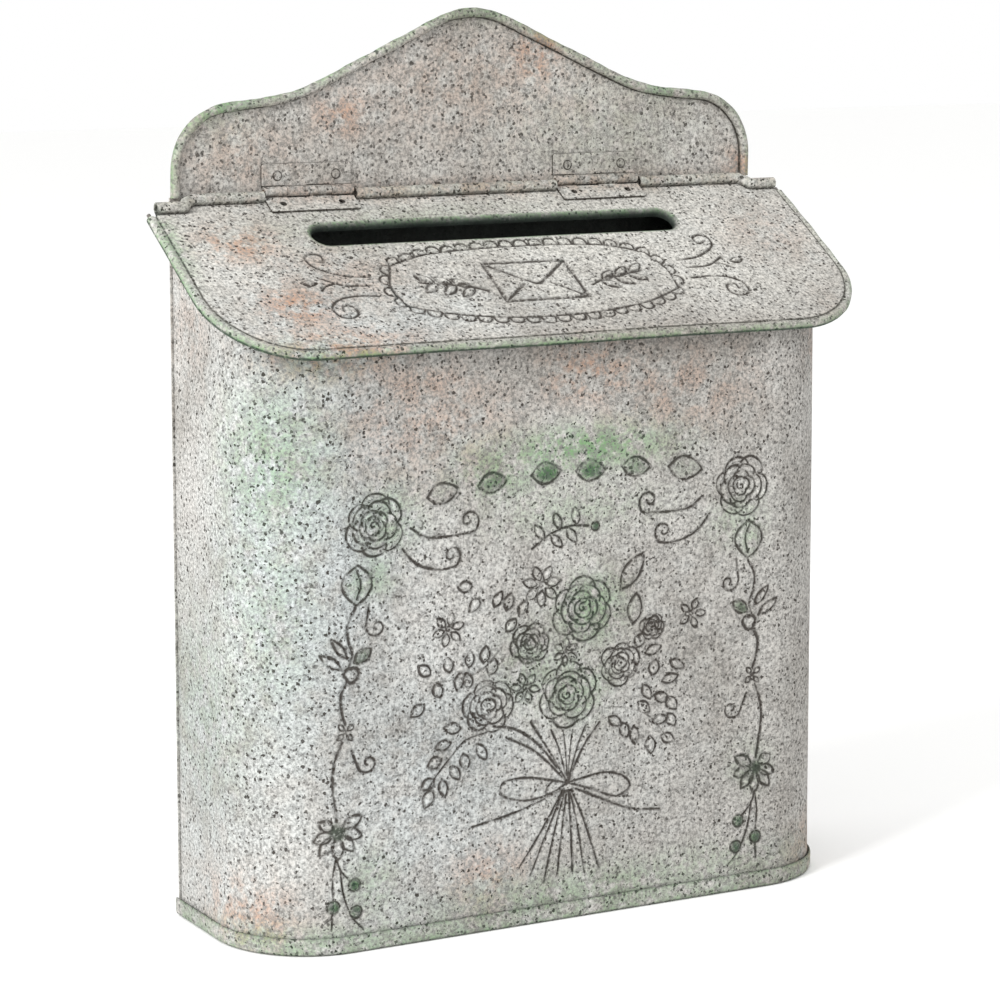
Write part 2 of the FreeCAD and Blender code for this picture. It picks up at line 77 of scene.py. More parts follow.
def row_points(x, y, z):
    """Millimetres in the row frame, as an array of points in metres."""
    return np.stack(np.broadcast_arrays(x, y, z), axis=-1) * MM


def shell_point(across, height, lift):
    """A point of the shell: its run round the front, height over the foot and lift off the face."""
    run = np.abs(across)
    flat = HALF_WIDTH - FRONT_CORNER
    side_start = flat + FRONT_CORNER * math.pi / 2
    side = -SHEET - REAR_BEND - (FRONT_Y + FRONT_CORNER)
    bend_start = side_start + side
    flange_start = bend_start + REAR_BEND * math.pi / 2
    turn = np.clip((run - flat) / FRONT_CORNER, 0, math.pi / 2)
    back_turn = np.clip((run - bend_start) / REAR_BEND, 0, math.pi / 2)
    x = np.minimum(run, flat) + FRONT_CORNER * np.sin(turn)
    x = x - REAR_BEND * (1 - np.cos(back_turn)) - np.maximum(run - flange_start, 0)
    y = FRONT_Y + FRONT_CORNER * (1 - np.cos(turn)) + np.clip(run - side_start, 0, side)
    y = y + REAR_BEND * np.sin(back_turn)
    out_x = np.sin(turn + back_turn)
    out_y = -np.cos(turn + back_turn)
    flare = FOOT_FLARE * np.clip(1 - height / FLARE_HEIGHT, 0, 1) ** 2 * (run < bend_start)
    reach = lift + flare
    return row_points(np.sign(across) * (x + out_x * reach), y + out_y * reach, FOOT + height)


def lid_plane_height(y, rise):
    """Height over the foot, at depth y, of a plane parallel to the lid at this rise from the hinge axis."""
    run = (AXIS_Y - y - rise * math.sin(SLOPE)) / math.cos(SLOPE)
    return AXIS_Z - FOOT - run * math.sin(SLOPE) + rise * math.cos(SLOPE)


def smooth(points, step=0.4):
    """A rounded line through given points."""
    placed = np.array(points, float)
    padded = np.vstack([2 * placed[0] - placed[1], placed, 2 * placed[-1] - placed[-2]])
    pieces = []
    for before, start, end, after in zip(padded, padded[1:], padded[2:], padded[3:]):
        count = max(2, int(np.hypot(*(end - start)) / step))
        part = np.linspace(0, 1, count, endpoint=False)[:, None]
        pieces.append(0.5 * (2 * start + (end - before) * part
                             + (2 * before - 5 * start + 4 * end - after) * part ** 2
                             + (3 * start - before - 3 * end + after) * part ** 3))
    return np.vstack(pieces + [placed[-1:]])


def round_point(middle, radius, angle):
    """A point on a circle round a middle."""
    return middle[0] + radius * math.cos(angle), middle[1] + radius * math.sin(angle)


def spiral(centre, radius, start, turns):
    """Points winding inwards from an angle in degrees, to the left for positive turns."""
    part = np.linspace(0, 1, int(abs(turns) * 14) + 2)
    angle = math.radians(start) + part * turns * 2 * math.pi
    reach = radius * (1 - 0.86 * part ** 0.8)
    return [round_point(centre, *stop) for stop in zip(reach, angle)]


class Pressing:
    """The pattern pressed into a sheet: depth in millimetres, old dirt in it, and moss, on a fine grid.

    Each place is moved left and down in proportion to how far left it lies of the one held.
    """

    CELL = 0.2
    STATION = 0.25          # spacing of the marks that make up a line
    UNEVEN_RUN = 2.5        # how often a line's width changes
    RUBBED_RUN = 3.5        # how often the dirt in it changes

    def __init__(self, low, high, pull=0.0, droop=0.0, held=0.0):
        self.pull, self.droop, self.held = pull, droop, held
        self.low = np.array(low, float)
        self.high = np.array(high, float)
        columns, rows = ((self.high - self.low) / self.CELL).astype(int) + 2
        self.depth = np.zeros((rows, columns))
        self.dirt = np.zeros((rows, columns))
        self.green = np.zeros((rows, columns))

    def window(self, place, reach):
        """Slices round a place, and how far across and up each grid point lies from it."""
        reach_left = self.held - place[0]
        settled = np.array((place[0] - self.pull * reach_left, place[1] - self.droop * reach_left))
        middle = (settled - self.low) / self.CELL
        span = int(reach / self.CELL) + 1
        rows, columns = self.depth.shape
        left, right = max(int(middle[0]) - span, 0), min(int(middle[0]) + span + 2, columns)
        bottom, top = max(int(middle[1]) - span, 0), min(int(middle[1]) + span + 2, rows)
        across = (np.arange(left, right) - middle[0]) * self.CELL
        up = (np.arange(bottom, top) - middle[1]) * self.CELL
        return (slice(bottom, top), slice(left, right)), across[None, :], up[:, None]

    def line(self, points, width=1.15, depth=0.6, dirt=1.0):
        """A cut line, uneven in width, with its dark filling rubbed out in places."""
        points = np.array(points, float)
        steps = np.hypot(*np.diff(points, axis=0).T)
        along = np.concatenate([[0], np.cumsum(steps)])
        stations = np.arange(0, along[-1], self.STATION)
        wobble = random.uniform(0.72, 1.15, int(along[-1] / self.UNEVEN_RUN) + 2)
        rubbed = np.clip(random.uniform(0.4, 1.5, int(along[-1] / self.RUBBED_RUN) + 2), 0, 1)
        for station in stations:
            place = [np.interp(station, along, points[:, axis]) for axis in (0, 1)]
            press = np.interp(station / self.UNEVEN_RUN, np.arange(len(wobble)), wobble)
            half = width * press / 2
            kept = dirt * np.interp(station / self.RUBBED_RUN, np.arange(len(rubbed)), rubbed)
            cells, across, up = self.window(place, 2.2 * half)
            groove = np.exp(-((across ** 2 + up ** 2) / half ** 2) ** 1.3)
            self.depth[cells] = np.maximum(self.depth[cells], depth * press * groove)
            self.dirt[cells] = np.maximum(self.dirt[cells], kept * groove)

    def curve(self, points, *looks):
        """A cut line rounded through given points."""
        self.line(smooth(points), *looks)

    def oval(self, centre, radii, turn, margin):
        """Slices round a turned oval, and the square of each grid point's share of the way to its edge."""
        cells, across, up = self.window(centre, margin * max(radii))
        angle = math.radians(turn)
        along = (across * math.cos(angle) + up * math.sin(angle)) / radii[0]
        beside = (up * math.cos(angle) - across * math.sin(angle)) / radii[1]
        return cells, along ** 2 + beside ** 2

    def raise_dome(self, centre, radii, turn=0.0, height=0.5):
        """A soft swelling of the sheet, pushed out from behind."""
        cells, share = self.oval(centre, radii, turn, 1.5)
        self.depth[cells] -= height * np.exp(-share ** 1.5)

    def stain(self, centre, radii, turn=0.0, green=0.0, dirt=0.0):
        """Moss and old paint held in one part of the pattern."""
        cells, share = self.oval(centre, radii, turn, 1.6)
        cover = np.exp(-share ** 2)
        self.green[cells] = np.maximum(self.green[cells], green * cover)
        self.dirt[cells] = np.maximum(self.dirt[cells], dirt * cover)

    def leaf(self, base, tip, width, dirt=1.0, line=0.95):
        """A pointed leaf: two bowed edges and a swollen middle."""
        base, tip = np.array(base, float), np.array(tip, float)
        along = tip - base
        left = np.array([-along[1], along[0]]) / np.hypot(*along)
        middle = base + along * 0.52
        for side in (-1, 1):
            bow = side * width / 2
            edge = [base, base + along * 0.25 + left * bow * 0.8, middle + left * bow,
                    base + along * 0.8 + left * bow * 0.6, tip]
            self.curve(edge, line, 0.55, dirt)
        self.raise_dome(middle, (np.hypot(*along) * 0.42, width * 0.4),
                        math.degrees(math.atan2(along[1], along[0])), 0.85)

    def leaf_towards(self, base, lean, reach, width, **looks):
        """A leaf of a given reach that leans to an angle in degrees."""
        self.leaf(base, round_point(base, reach, math.radians(lean)), width, **looks)

    def petal_ring(self, centre, radius, petals, turn, depth, frill, width):
        """A closed ring of petal edges that dip inwards between petals."""
        angle = np.linspace(0, 2 * math.pi, 90)
        lobes = np.abs(np.sin(petals * angle / 2 + math.radians(turn)))
        reach = radius * (1 - frill + frill * 1.6 * lobes ** 0.7 - frill * 0.6)
        ring = np.stack([centre[0] + reach * np.cos(angle), centre[1] + reach * np.sin(angle)], axis=-1)
        self.line(ring, width, depth)

    def rose(self, centre, radius, turn):
        """A full rose: a swollen head of overlapping petals in four rounds, and a rolled heart."""
        self.raise_dome(centre, (radius * 0.9, radius * 0.9), 0, 0.9)
        for share, petals in ((0.98, 6), (0.74, 5), (0.51, 4), (0.3, 3)):
            for number in range(petals):
                middle = turn + 137 * share + 360 * number / petals + random.uniform(-10, 10)
                span = 180 / petals * random.uniform(1.0, 1.3)
                bulge = random.uniform(0.93, 1.06)
                edge = []
                for part in (-1.0, -0.7, -0.3, 0.1, 0.5, 0.85, 1.08):
                    angle = math.radians(middle + part * span)
                    reach = radius * share * bulge * (1 - 0.2 * abs(part) ** 2.6)
                    edge.append(round_point(centre, reach, angle))
                self.curve(edge, random.uniform(0.8, 1.15), 0.6)
                angle = math.radians(middle)
                lobe = round_point(centre, radius * share * 0.84, angle)
                self.raise_dome(lobe, (radius * 0.13, radius * share * 0.5), middle, 0.5)
        self.curve(spiral(centre, radius * 0.17, turn + 40, 1.0), 0.9, 0.5)

    def daisy(self, centre, radius, petals, turn=0.0, dirt=0.9):
        """Narrow petals round a small coiled eye."""
        for number in range(petals):
            angle = math.radians(turn + 360 * number / petals)
            direction = np.array([math.cos(angle), math.sin(angle)])
            base = np.array(centre) + direction * radius * 0.25
            self.leaf(base, np.array(centre) + direction * radius, radius * 0.42, dirt=dirt, line=0.85)
        self.curve(spiral(centre, radius * 0.24, turn, 1.0), 0.9, 0.4, dirt)

    def berry(self, centre, radius):
        """A round berry, swollen, ringed by a groove and green with moss."""
        self.petal_ring(centre, radius * 0.9, 3, 20, 0.5, 0.05, 1.0)
        self.raise_dome(centre, (radius * 0.7, radius * 0.7), 0, 0.6)
        self.stain(centre, (radius * 0.85, radius * 0.85), green=0.9, dirt=0.62)

    def look_up(self, field, across, up):
        """The field's value at points of the sheet, and nought outside the grid."""
        column = np.clip((across - self.low[0]) / self.CELL, 0, field.shape[1] - 1.001)
        row = np.clip((up - self.low[1]) / self.CELL, 0, field.shape[0] - 1.001)
        left, bottom = column.astype(int), row.astype(int)
        part_x, part_y = column - left, row - bottom
        lower = field[bottom, left] * (1 - part_x) + field[bottom, left + 1] * part_x
        upper = field[bottom + 1, left] * (1 - part_x) + field[bottom + 1, left + 1] * part_x
        inside = ((across > self.low[0]) & (across < self.high[0]) & (up > self.low[1]) & (up < self.high[1]))
        return (lower * (1 - part_y) + upper * part_y) * inside

    def beyond(self, points):
        """Which points lie outside the grid."""
        left, bottom = self.low
        right, top = self.high
        return ~inside_of(np.array([(left, bottom), (right, bottom), (right, top), (left, top)]), points)

    def lattice(self, coarse=PITCH, fine=0.4):
        """Points for the mesh: fine along the cut lines, middling on swellings and coarse between them."""
        found = set()
        unit = fine / 4
        margin = 2
        least_dirt, least_swelling, finest_swelling = 0.2, 0.06, 0.9

        def split(left, bottom, size):
            first_x, first_y = int(left / self.CELL), int(bottom / self.CELL)
            count = int(size / self.CELL)
            cells = (slice(max(first_y - margin, 0), first_y + count + margin),
                     slice(max(first_x - margin, 0), first_x + count + margin))
            cut = self.dirt[cells].max(initial=0) > least_dirt
            swollen = np.abs(self.depth[cells]).max(initial=0) > least_swelling
            if size > fine + 0.01 and (cut or (swollen and size > finest_swelling)):
                for step_x in (0, size / 2):
                    for step_y in (0, size / 2):
                        split(left + step_x, bottom + step_y, size / 2)
                return
            for corner_x in (left, left + size):
                for corner_y in (bottom, bottom + size):
                    found.add((round(corner_x / unit), round(corner_y / unit)))

        width, height = self.high - self.low
        for left in np.arange(0, width - coarse + 0.01, coarse):
            for bottom in np.arange(0, height - coarse + 0.01, coarse):
                split(left, bottom, coarse)
        return np.array(sorted(found), float) * unit + self.low


def press_front():
    """The front's flowers, in millimetres across from its middle and up from the foot."""
    front = Pressing((-112.0, 6.4), (105.6, 189.6), 0.034, 0.015, 78.0)
    garland = ((-49, 172.5, 10, 13, 7.6, 0.15), (-28.5, 174.5, 6, 12, 7.4, 0.7), (-6, 176, 4, 12.4, 8, 1.0),
               (13, 175.3, -2, 12.6, 8, 1.0), (32.5, 175, -5, 12.4, 7.4, 0.55), (54, 172.5, -9, 15, 9, 0.2))
    for x, z, lean, length, width, green in garland:
        ends = (round_point((x, z), reach, math.radians(lean)) for reach in (-length / 2, length / 2))
        front.leaf(*ends, width, line=1.2)
        front.stain((x, z), (length * 0.46, width * 0.42), lean, green, 0.5 * green)
    rose_x, rose_z = 78, 163
    for side in (-1, 1):
        def mirrored(*points, side=side):
            spread = 0.05 if side < 0 else 0.0
            return [(side * (x + spread * (rose_z - z)), z) for x, z in points]

        front.rose((side * rose_x + 1, rose_z), 12.0, 30 + 70 * side)
        upper_scroll = ((62, 160.6), (55.3, 156.5), (44, 156), *spiral((38.3, 161.2), 5.0, -120, -1.15))
        lower_scroll = ((65, 153.2), (59, 146.9), (50.2, 143.8), *spiral((44.8, 148.6), 4.6, -110, -1.2))
        for scroll in (upper_scroll, lower_scroll):
            front.curve(mirrored(*scroll), 1.2)
        front.leaf(*mirrored((82.8, 149), (82.6, 133.8)), 12, line=1.2)
        front.curve(mirrored((83.4, 147.5), (81.2, 142), (82.6, 136)), 1.0, 0.5)
        front.stain(mirrored((82.7, 141.5))[0], (5, 7), green=0.35)
        front.curve(mirrored((82.8, 133), (85.6, 127), (85.2, 121), (83.4, 116), (84.6, 111)), 1.35)
        front.curve(mirrored((77.4, 134), (78, 129), *spiral((74, 125), 4.4, 5, -1.15)), 1.1)
        front.leaf(*mirrored((85.6, 114.5), (91.8, 122)), 2.8, line=1.2)
        front.leaf(*mirrored((87.6, 110.5), (96, 116.4)), 3.2, line=1.2)
        front.leaf(*mirrored((82.5, 112.5), (76, 117)), 4.6, line=1.2)
        front.stain(mirrored((79.4, 114.6))[0], (3.4, 1.9), -35 * side, 0.5, 0.5)
        front.petal_ring(mirrored((83.4, 108))[0], 3.0, 3, 40, 0.6, 0.15, 1.5)
        front.curve(mirrored((85.2, 105.5), (87.4, 100), (86.4, 93), (85, 89.5)), 1.4)
        front.daisy(mirrored((85, 86.6))[0], 4.2, 4, 40, dirt=1.0)
        front.curve(mirrored((86.2, 83), (88.6, 76), (89.2, 68), (87.6, 57), (87, 53)), 1.4)
        front.curve(mirrored((82.4, 79.4), (80, 74), *spiral((75.4, 74), 4.2, -35, -1.15)), 1.15)
        for lean, reach in ((152, 10.5), (196, 10), (232, 10.5), (268, 11), (306, 11), (338, 9.5), (28, 8)):
            ends = (round_point((86.5, 49.5), out, math.radians(lean)) for out in (2, reach))
            front.leaf(*mirrored(*ends), 4.4, line=1.2)
        front.stain(mirrored((86.5, 49))[0], (3.4, 3.4), green=0.5, dirt=0.75)
        front.curve(mirrored((86.6, 39.5), (84.8, 34.5), (80.2, 29.5)), 1.0)
        front.curve(mirrored((85, 35), (83.2, 25), (79.4, 16), (74.4, 10.5)), 0.9)
        front.curve(mirrored((86.6, 39.5), (87.6, 31), (87, 22), (87.3, 12)), 1.0)
        for berry in mirrored((79, 28.2), (78, 17.8), (87, 20.6)):
            front.berry(berry, 2.7)

    front.curve([(-12, 147.5), (-4, 152.5), (4, 154.6), (12, 154)], 1.1)
    for x, z, lean in ((-7, 150.8, 125), (0, 154, 112), (7, 155, 98), (-4, 152, -48), (3, 154, -58)):
        front.leaf_towards((x, z), lean, 7, 3.2)
    front.berry((15, 153.5), 1.8)

    knot = (3.4, 54.5)
    stems = ((-23, 76, 1.2), (-12.6, 80.5, 1.2), (-4, 76.5, 0.9), (1.2, 76.5, 0.8), (5.4, 75, 0.8),
             (11.5, 77, 1.1), (17, 76.5, 1.1))
    for x, z, width in stems:
        bow = (knot[0] + (x - knot[0]) * 0.5, 68)
        front.curve([(x, z), bow, knot], width)
    front.curve([(-28.5, 81), (-19, 78.5), (-9, 71), (-1, 61)], 1.2)
    for x, z in ((-17.5, 24), (-12.6, 20.3), (-7, 16.4), (-1.2, 18.6), (5.4, 19.2), (10.6, 17.7), (17, 18.6)):
        front.curve([(knot[0] + (x - 3) * 0.12, 51.5), (knot[0] + (x - 3) * 0.52, 38), (x, z)], 1.05)
    front.curve([knot, (-4, 56.5), (-14.5, 59), (-23.3, 58.6), (-25.5, 55.3), (-22.4, 52.2),
                (-14.4, 50), (-4.7, 51), knot], 1.1)
    front.curve([knot, (10, 55.5), (20, 56.3), (27.4, 53.8), (30.4, 49.8), (27.5, 47), (22.5, 46.6),
                (14.2, 50.4), knot], 1.1)
    front.curve([(-2, 56.5), (-5.5, 54), (-6, 51)], 0.8)
    front.curve([(1.8, 52.3), (-12, 47.8), (-24, 45), (-37.5, 43)], 1.1)
    front.curve([(6.7, 51.7), (15, 47.6), (23.4, 43.4), (32, 40), (43.6, 38.4)], 1.15)

    for x, z, radius, turn in ((9.5, 122.3, 13.0, 20), (26, 98.5, 8.6, 75), (3, 89.2, 13.0, 130),
                               (-30.6, 89.2, 10.6, 215)):
        front.rose((x, z), radius, turn)
    front.daisy((-8, 133), 8.2, 7, 10)
    front.rose((-13, 111), 8.2, 55)
    front.daisy((2.2, 106), 5.6, 6, 25)
    front.daisy((-15, 94), 6.4, 6, 50)
    front.daisy((-47, 120.5), 6.6, 6, 15, dirt=1.0)
    front.rose((40, 111.5), 5.4, 40)
    front.daisy((57.5, 114.5), 6.2, 5, 70, dirt=1.0)
    front.leaf((26, 127.5), (36, 141), 7.0, line=1.25)
    front.leaf((31.5, 113.5), (33, 125.5), 5.8, line=1.15)
    front.leaf((37, 101), (44, 103.5), 3.6)
    sprays = (
        ((-37, 136, 178), (-34, 131, 228), (-28, 127, 62), (-23, 125, 72), (-17.5, 122.5, 60), (-23, 117, 48),
         (-54.5, 104, 140), (-46.5, 104, 100), (-38.5, 105, 85), (-32.5, 106, 80), (-43.5, 97, 75),
         (-50.5, 95, 108),
         (-57, 93, 215), (-38.5, 97, 100), (-30, 101, 70), (-42, 82, 172), (-46, 77, 190), (-50, 71.5, 205),
         (-35, 75, -62), (-41, 72, -78), (-46, 68, -60), (-53, 64, 212), (-50, 63.5, -80), (-54, 60, 245)),
        ((40, 92, 75), (44.5, 89, 15), (36, 89, -62), (41, 84, -20), (46.5, 82.5, -50), (21, 78, -35),
         (27, 75, -72), (32, 73, -85), (39, 68, -85), (44, 67.5, -22), (40, 73.5, 10), (34, 82, -40),
         (33, 104, 60), (48, 97, -30), (47, 76, -60)),
    )
    for spray in sprays:
        for x, z, lean in spray:
            reach, width = random.uniform(6.0, 7.4), random.uniform(3.4, 4.4)
            front.leaf_towards((x, z), lean, reach, width, line=1.05)
    front.curve([(-31, 79), (-40, 77), (-47, 70.5), (-53, 64), (-57, 58)], 0.9)
    front.curve([(-24, 112), (-34, 103), (-45, 101), (-56, 101)], 0.6, 0.25, 0.5)
    front.curve([(22, 82), (31, 80), (40, 75), (47, 66)], 0.7, 0.3, 0.6)
    return front


def inside_of(loop, points):
    """Which points lie inside a closed loop."""
    inside = np.zeros(len(points), bool)
    for (ax, ay), (bx, by) in zip(loop, np.roll(loop, -1, axis=0)):
        if ay == by:
            continue
        crosses = (ay > points[:, 1]) != (by > points[:, 1])
        inside ^= crosses & (points[:, 0] < (bx - ax) * (points[:, 1] - ay) / (by - ay) + ax)
    return inside


def even_grid(across, up):
    """Every pairing of the places across with the places up."""
    return np.stack(np.meshgrid(across, up), axis=-1).reshape(-1, 2)


def away_from(loop, points, gap):
    """Which points lie at least a gap away from every point of a loop."""
    clear = np.ones(len(points), bool)
    for x, y in loop:
        clear &= (points[:, 0] - x) ** 2 + (points[:, 1] - y) ** 2 > gap ** 2
    return clear


def triangulate(loops, inner):
    """Triangles between an outer loop, its holes and points inside, and where each loop's points ended up."""
    points = [tuple(point) for loop in loops for point in loop]
    edges = []
    start = 0
    for loop in loops:
        count = len(loop)
        edges += [(start + index, start + (index + 1) % count) for index in range(count)]
        start += count
    points += [tuple(point) for point in inner]
    made = geometry.delaunay_2d_cdt([Vector(point) for point in points], edges, [], 1, 1e-5)
    placed = np.array([tuple(point) for point in made[0]])
    where = {}
    for index, sources in enumerate(made[3]):
        for source in sources:
            where[source] = index
    faces = np.array(made[2])
    middles = placed[faces].mean(axis=1)
    for loop in loops[1:]:
        keep = ~inside_of(np.array(loop), middles)
        faces, middles = faces[keep], middles[keep]
    return placed, faces, [where[index] for index in range(start)]


def waves(points, size, seed):
    """Slow unevenness of hand-worked sheet, mostly between -1 and 1, at points in millimetres."""
    draw = np.random.default_rng(seed)
    total = np.zeros(len(points))
    for _ in range(7):
        direction = draw.normal(size=3)
        direction /= np.linalg.norm(direction) * size / draw.uniform(3.5, 8.0)
        total += np.sin(points @ direction + draw.uniform(0, 6.28))
    return total / 4


def edge_normals(points, closed):
    """Unit vectors to the right of an open or closed line's run."""
    points = np.array(points, float)
    if closed:
        along = np.roll(points, -1, axis=0) - np.roll(points, 1, axis=0)
    else:
        along = np.gradient(points, axis=0)
    along /= np.hypot(*along.T)[:, None]
    return np.stack([along[:, 1], -along[:, 0]], axis=-1)


def rounded_line(corners, step=2.0, closed=False):
    """A line through corner points, each with its own radius, in steps of about this length."""
    count = len(corners)
    line = []
    for index, (x, y, radius) in enumerate(corners):
        here = np.array((x, y), float)
        if radius <= 0 or (not closed and index in (0, count - 1)):
            stops = [here]
        else:
            before = np.array(corners[index - 1][:2], float)
            after = np.array(corners[(index + 1) % count][:2], float)
            into = (here - before) / np.hypot(*(here - before))
            out = (after - here) / np.hypot(*(after - here))
            turn = math.acos(np.clip(into @ out, -1, 1))
            reach = radius * math.tan(turn / 2)
            side = math.copysign(1, into[0] * out[1] - into[1] * out[0])
            centre = here - into * reach + side * radius * np.array((-into[1], into[0]))
            first = here - into * reach - centre
            stops = []
            parts = max(3, int(radius * turn / min(step, radius / 3)))
            for part in np.linspace(0, turn, parts + 1):
                c, s = math.cos(side * part), math.sin(side * part)
                stops.append(centre + np.array((c * first[0] - s * first[1], s * first[0] + c * first[1])))
        for stop in stops:
            gap = np.hypot(*(stop - line[-1])) if line else step
            if gap < 1e-6:
                continue
            if gap > 1.5 * step:
                pieces = int(gap / step)
                line += [line[-1] + (stop - line[-1]) * part / pieces for part in range(1, pieces)]
            line.append(stop)
    if closed:
        gap = line[0] - line[-1]
        pieces = int(np.hypot(*gap) / step)
        line += [line[-1] + gap * part / pieces for part in range(1, pieces)]
    return np.array(line)


def plain_edge(thickness):
    """The cut edge of a sheet, a little rounded by its paint."""
    return lambda place: [(0.12, -0.15 * thickness, 0.12, 0), (0.12, -0.85 * thickness, 0.12, 0)]


def shaded_edge(thickness):
    """A cut edge painted dark: painted shade in the lid's hinge holes, round the hinge leaves and in the gaps
    between their knuckles.
    """
    return lambda place: [(out, lift, 0.95, 0) for out, lift, dirt, moss in plain_edge(thickness)(place)]


def sheet_piece(name, point, sections, thickness, inner, holes=(), pressing=None, wave=(0.25, 90, 1),
                wave_mask=None, inside=(0.0, 1.0)):
    """A closed mesh of one bent sheet.

    sections follow the sheet's outline, anticlockwise, each a line and its edge. An edge gives, at each
    place, the run from the upper face round to the lower one, as (out, lift, dirt, moss), and lastly how far
    it shows the inside's dark base coat. The dirt column holds old dirt and also painted shade in folds,
    holes and under beads, and the base coat is dark enough to stand in for the shade inside the box. Holes
    are closed lines with an edge of their own, clockwise. Lift is off the upper face, in millimetres. inside
    gives the base coat on the upper and lower faces.
    """
    outer = np.vstack([line[:-1] for line, _ in sections])
    loops = [outer] + [line for line, _ in holes]
    keep = inside_of(outer, inner) & away_from(outer, inner, EDGE_GAP)
    for line, _ in holes:
        keep &= ~inside_of(line, inner) & away_from(line, inner, EDGE_GAP)
    inner = inner[keep]
    spread = np.abs(inner - np.round(inner / (2 * PITCH)) * 2 * PITCH).max(axis=1) < 0.05
    upper, upper_faces, upper_loops = triangulate(loops, inner)
    lower, lower_faces, lower_loops = triangulate(loops, inner[spread])

    size, spacing, seed = wave
    places, dirt, moss, base_coat_and_shade = [], [], [], []

    def add(flat, lift, soot_and_shade, green, base):
        flat = np.atleast_2d(flat)
        raw = point(flat[:, 0], flat[:, 1], lift)
        bent = size * waves(raw / MM, spacing, seed)
        if wave_mask is not None:
            bent = bent * wave_mask(flat)
        places.append(point(flat[:, 0], flat[:, 1], lift + bent))
        dirt.append(np.broadcast_to(soot_and_shade, len(flat)))
        moss.append(np.broadcast_to(green, len(flat)))
        base_coat_and_shade.append(np.broadcast_to(base(flat) if callable(base) else base, len(flat)))

    if pressing is None:
        add(upper, np.zeros(len(upper)), 0.0, 0.0, inside[0])
    else:
        pressed, soiled, mossy = (pressing.look_up(field, *upper.T)
                                  for field in (pressing.depth, pressing.dirt, pressing.green))
        add(upper, -pressed, np.clip(soiled, 0, 1), mossy, inside[0])
    add(lower, np.full(len(lower), -thickness), 0.0, 0.0, inside[1])
    total = len(upper) + len(lower)
    faces = [tuple(face) for face in upper_faces]
    faces += [tuple(face[::-1] + len(upper)) for face in lower_faces]

    def run_edge(line, closed, edge, first):
        """Adds an edge's rows along a line, and returns each place's run of vertices."""
        nonlocal total
        count = len(line)
        normals = edge_normals(line, closed)
        runs = []
        for index in range(count):
            around = (first + index) % loop_size + loop_start
            rows = edge(line[index])
            flat = np.array([line[index] + normals[index] * row[0] for row in rows])
            add(flat, *(np.array([(row + (0,))[column] for row in rows]) for column in (1, 2, 3, 4)))
            middle = list(range(total, total + len(rows)))
            total += len(rows)
            runs.append([upper_loops[around]] + middle + [lower_loops[around] + len(upper)])
        pairs = list(zip(runs, runs[1:])) + ([(runs[-1], runs[0])] if closed else [])
        for here, following in pairs:
            for row in range(len(here) - 1):
                corners = (here[row], following[row], following[row + 1], here[row + 1])
                faces.append(tuple(dict.fromkeys(corners)))
        return runs

    loop_start, loop_size, first, ends = 0, len(outer), 0, []
    for line, edge in sections:
        runs = run_edge(line, False, edge, first)
        ends.append((runs[0], runs[-1]))
        first += len(line) - 1
    for index, (_, last) in enumerate(ends):
        start = ends[(index + 1) % len(ends)][0]
        faces.append(tuple(dict.fromkeys(last + start[::-1])))
    loop_start = len(outer)
    for line, edge in holes:
        loop_size = len(line)
        run_edge(line, True, edge, 0)
        loop_start += loop_size

    return finish_mesh(name, np.vstack(places), faces, np.concatenate(dirt), np.concatenate(moss),
                       np.concatenate(base_coat_and_shade))


# Moss, rust, pale bloom and soot lie in soft patches, and some of the rust and soot patches are painted
# shadow and shade, marked where they stand. Each has its middle and its reach in millimetres, as x, y and
# height over the foot, and then its strength.
MOSS = (
    ((8, -76, 183), (34, 30, 8), 0.9), ((-28, -76, 177), (20, 30, 11), 0.55),
    ((3, -76, 160), (34, 30, 9), 0.3), ((10, -76, 121), (14, 20, 13), 0.6),
    ((5, -76, 90), (13, 20, 12), 0.45), ((-14, -76, 100), (14, 20, 16), 0.3),
    ((-116, -60, 185), (18, 22, 26), 0.55), ((-118, -58, 135), (14, 25, 40), 0.3),
    ((15, -76, 8), (70, 20, 10), 0.45), ((-105, -66, 4), (60, 30, 6), 0.5),
    ((78, -76, 150), (13, 14, 10), 0.3), ((-76, -76, 163), (13, 14, 12), 0.4),
    ((-30, -16, 262), (60, 14, 9), 0.3), ((60, -5, 300), (40, 9, 20), 0.15),
    ((-112, -3, 318), (18, 2, 14), 0.9), ((92, -3, 322), (26, 2, 12), 0.8),
    ((0, -3, 349), (26, 2, 6), 0.7), ((-140, -20, 262), (5, 24, 18), 0.6),
    ((-120, -80, 222), (26, 10, 8), 0.5), ((-81, -76, 142), (7, 14, 8), 0.4),
    ((84, -76, 50), (9, 14, 9), 0.3), ((-84, -76, 26), (10, 14, 12), 0.35),
    ((60, -70, 12), (50, 20, 8), 0.35), ((-128, -30, 90), (20, 30, 34), 0.25),
)
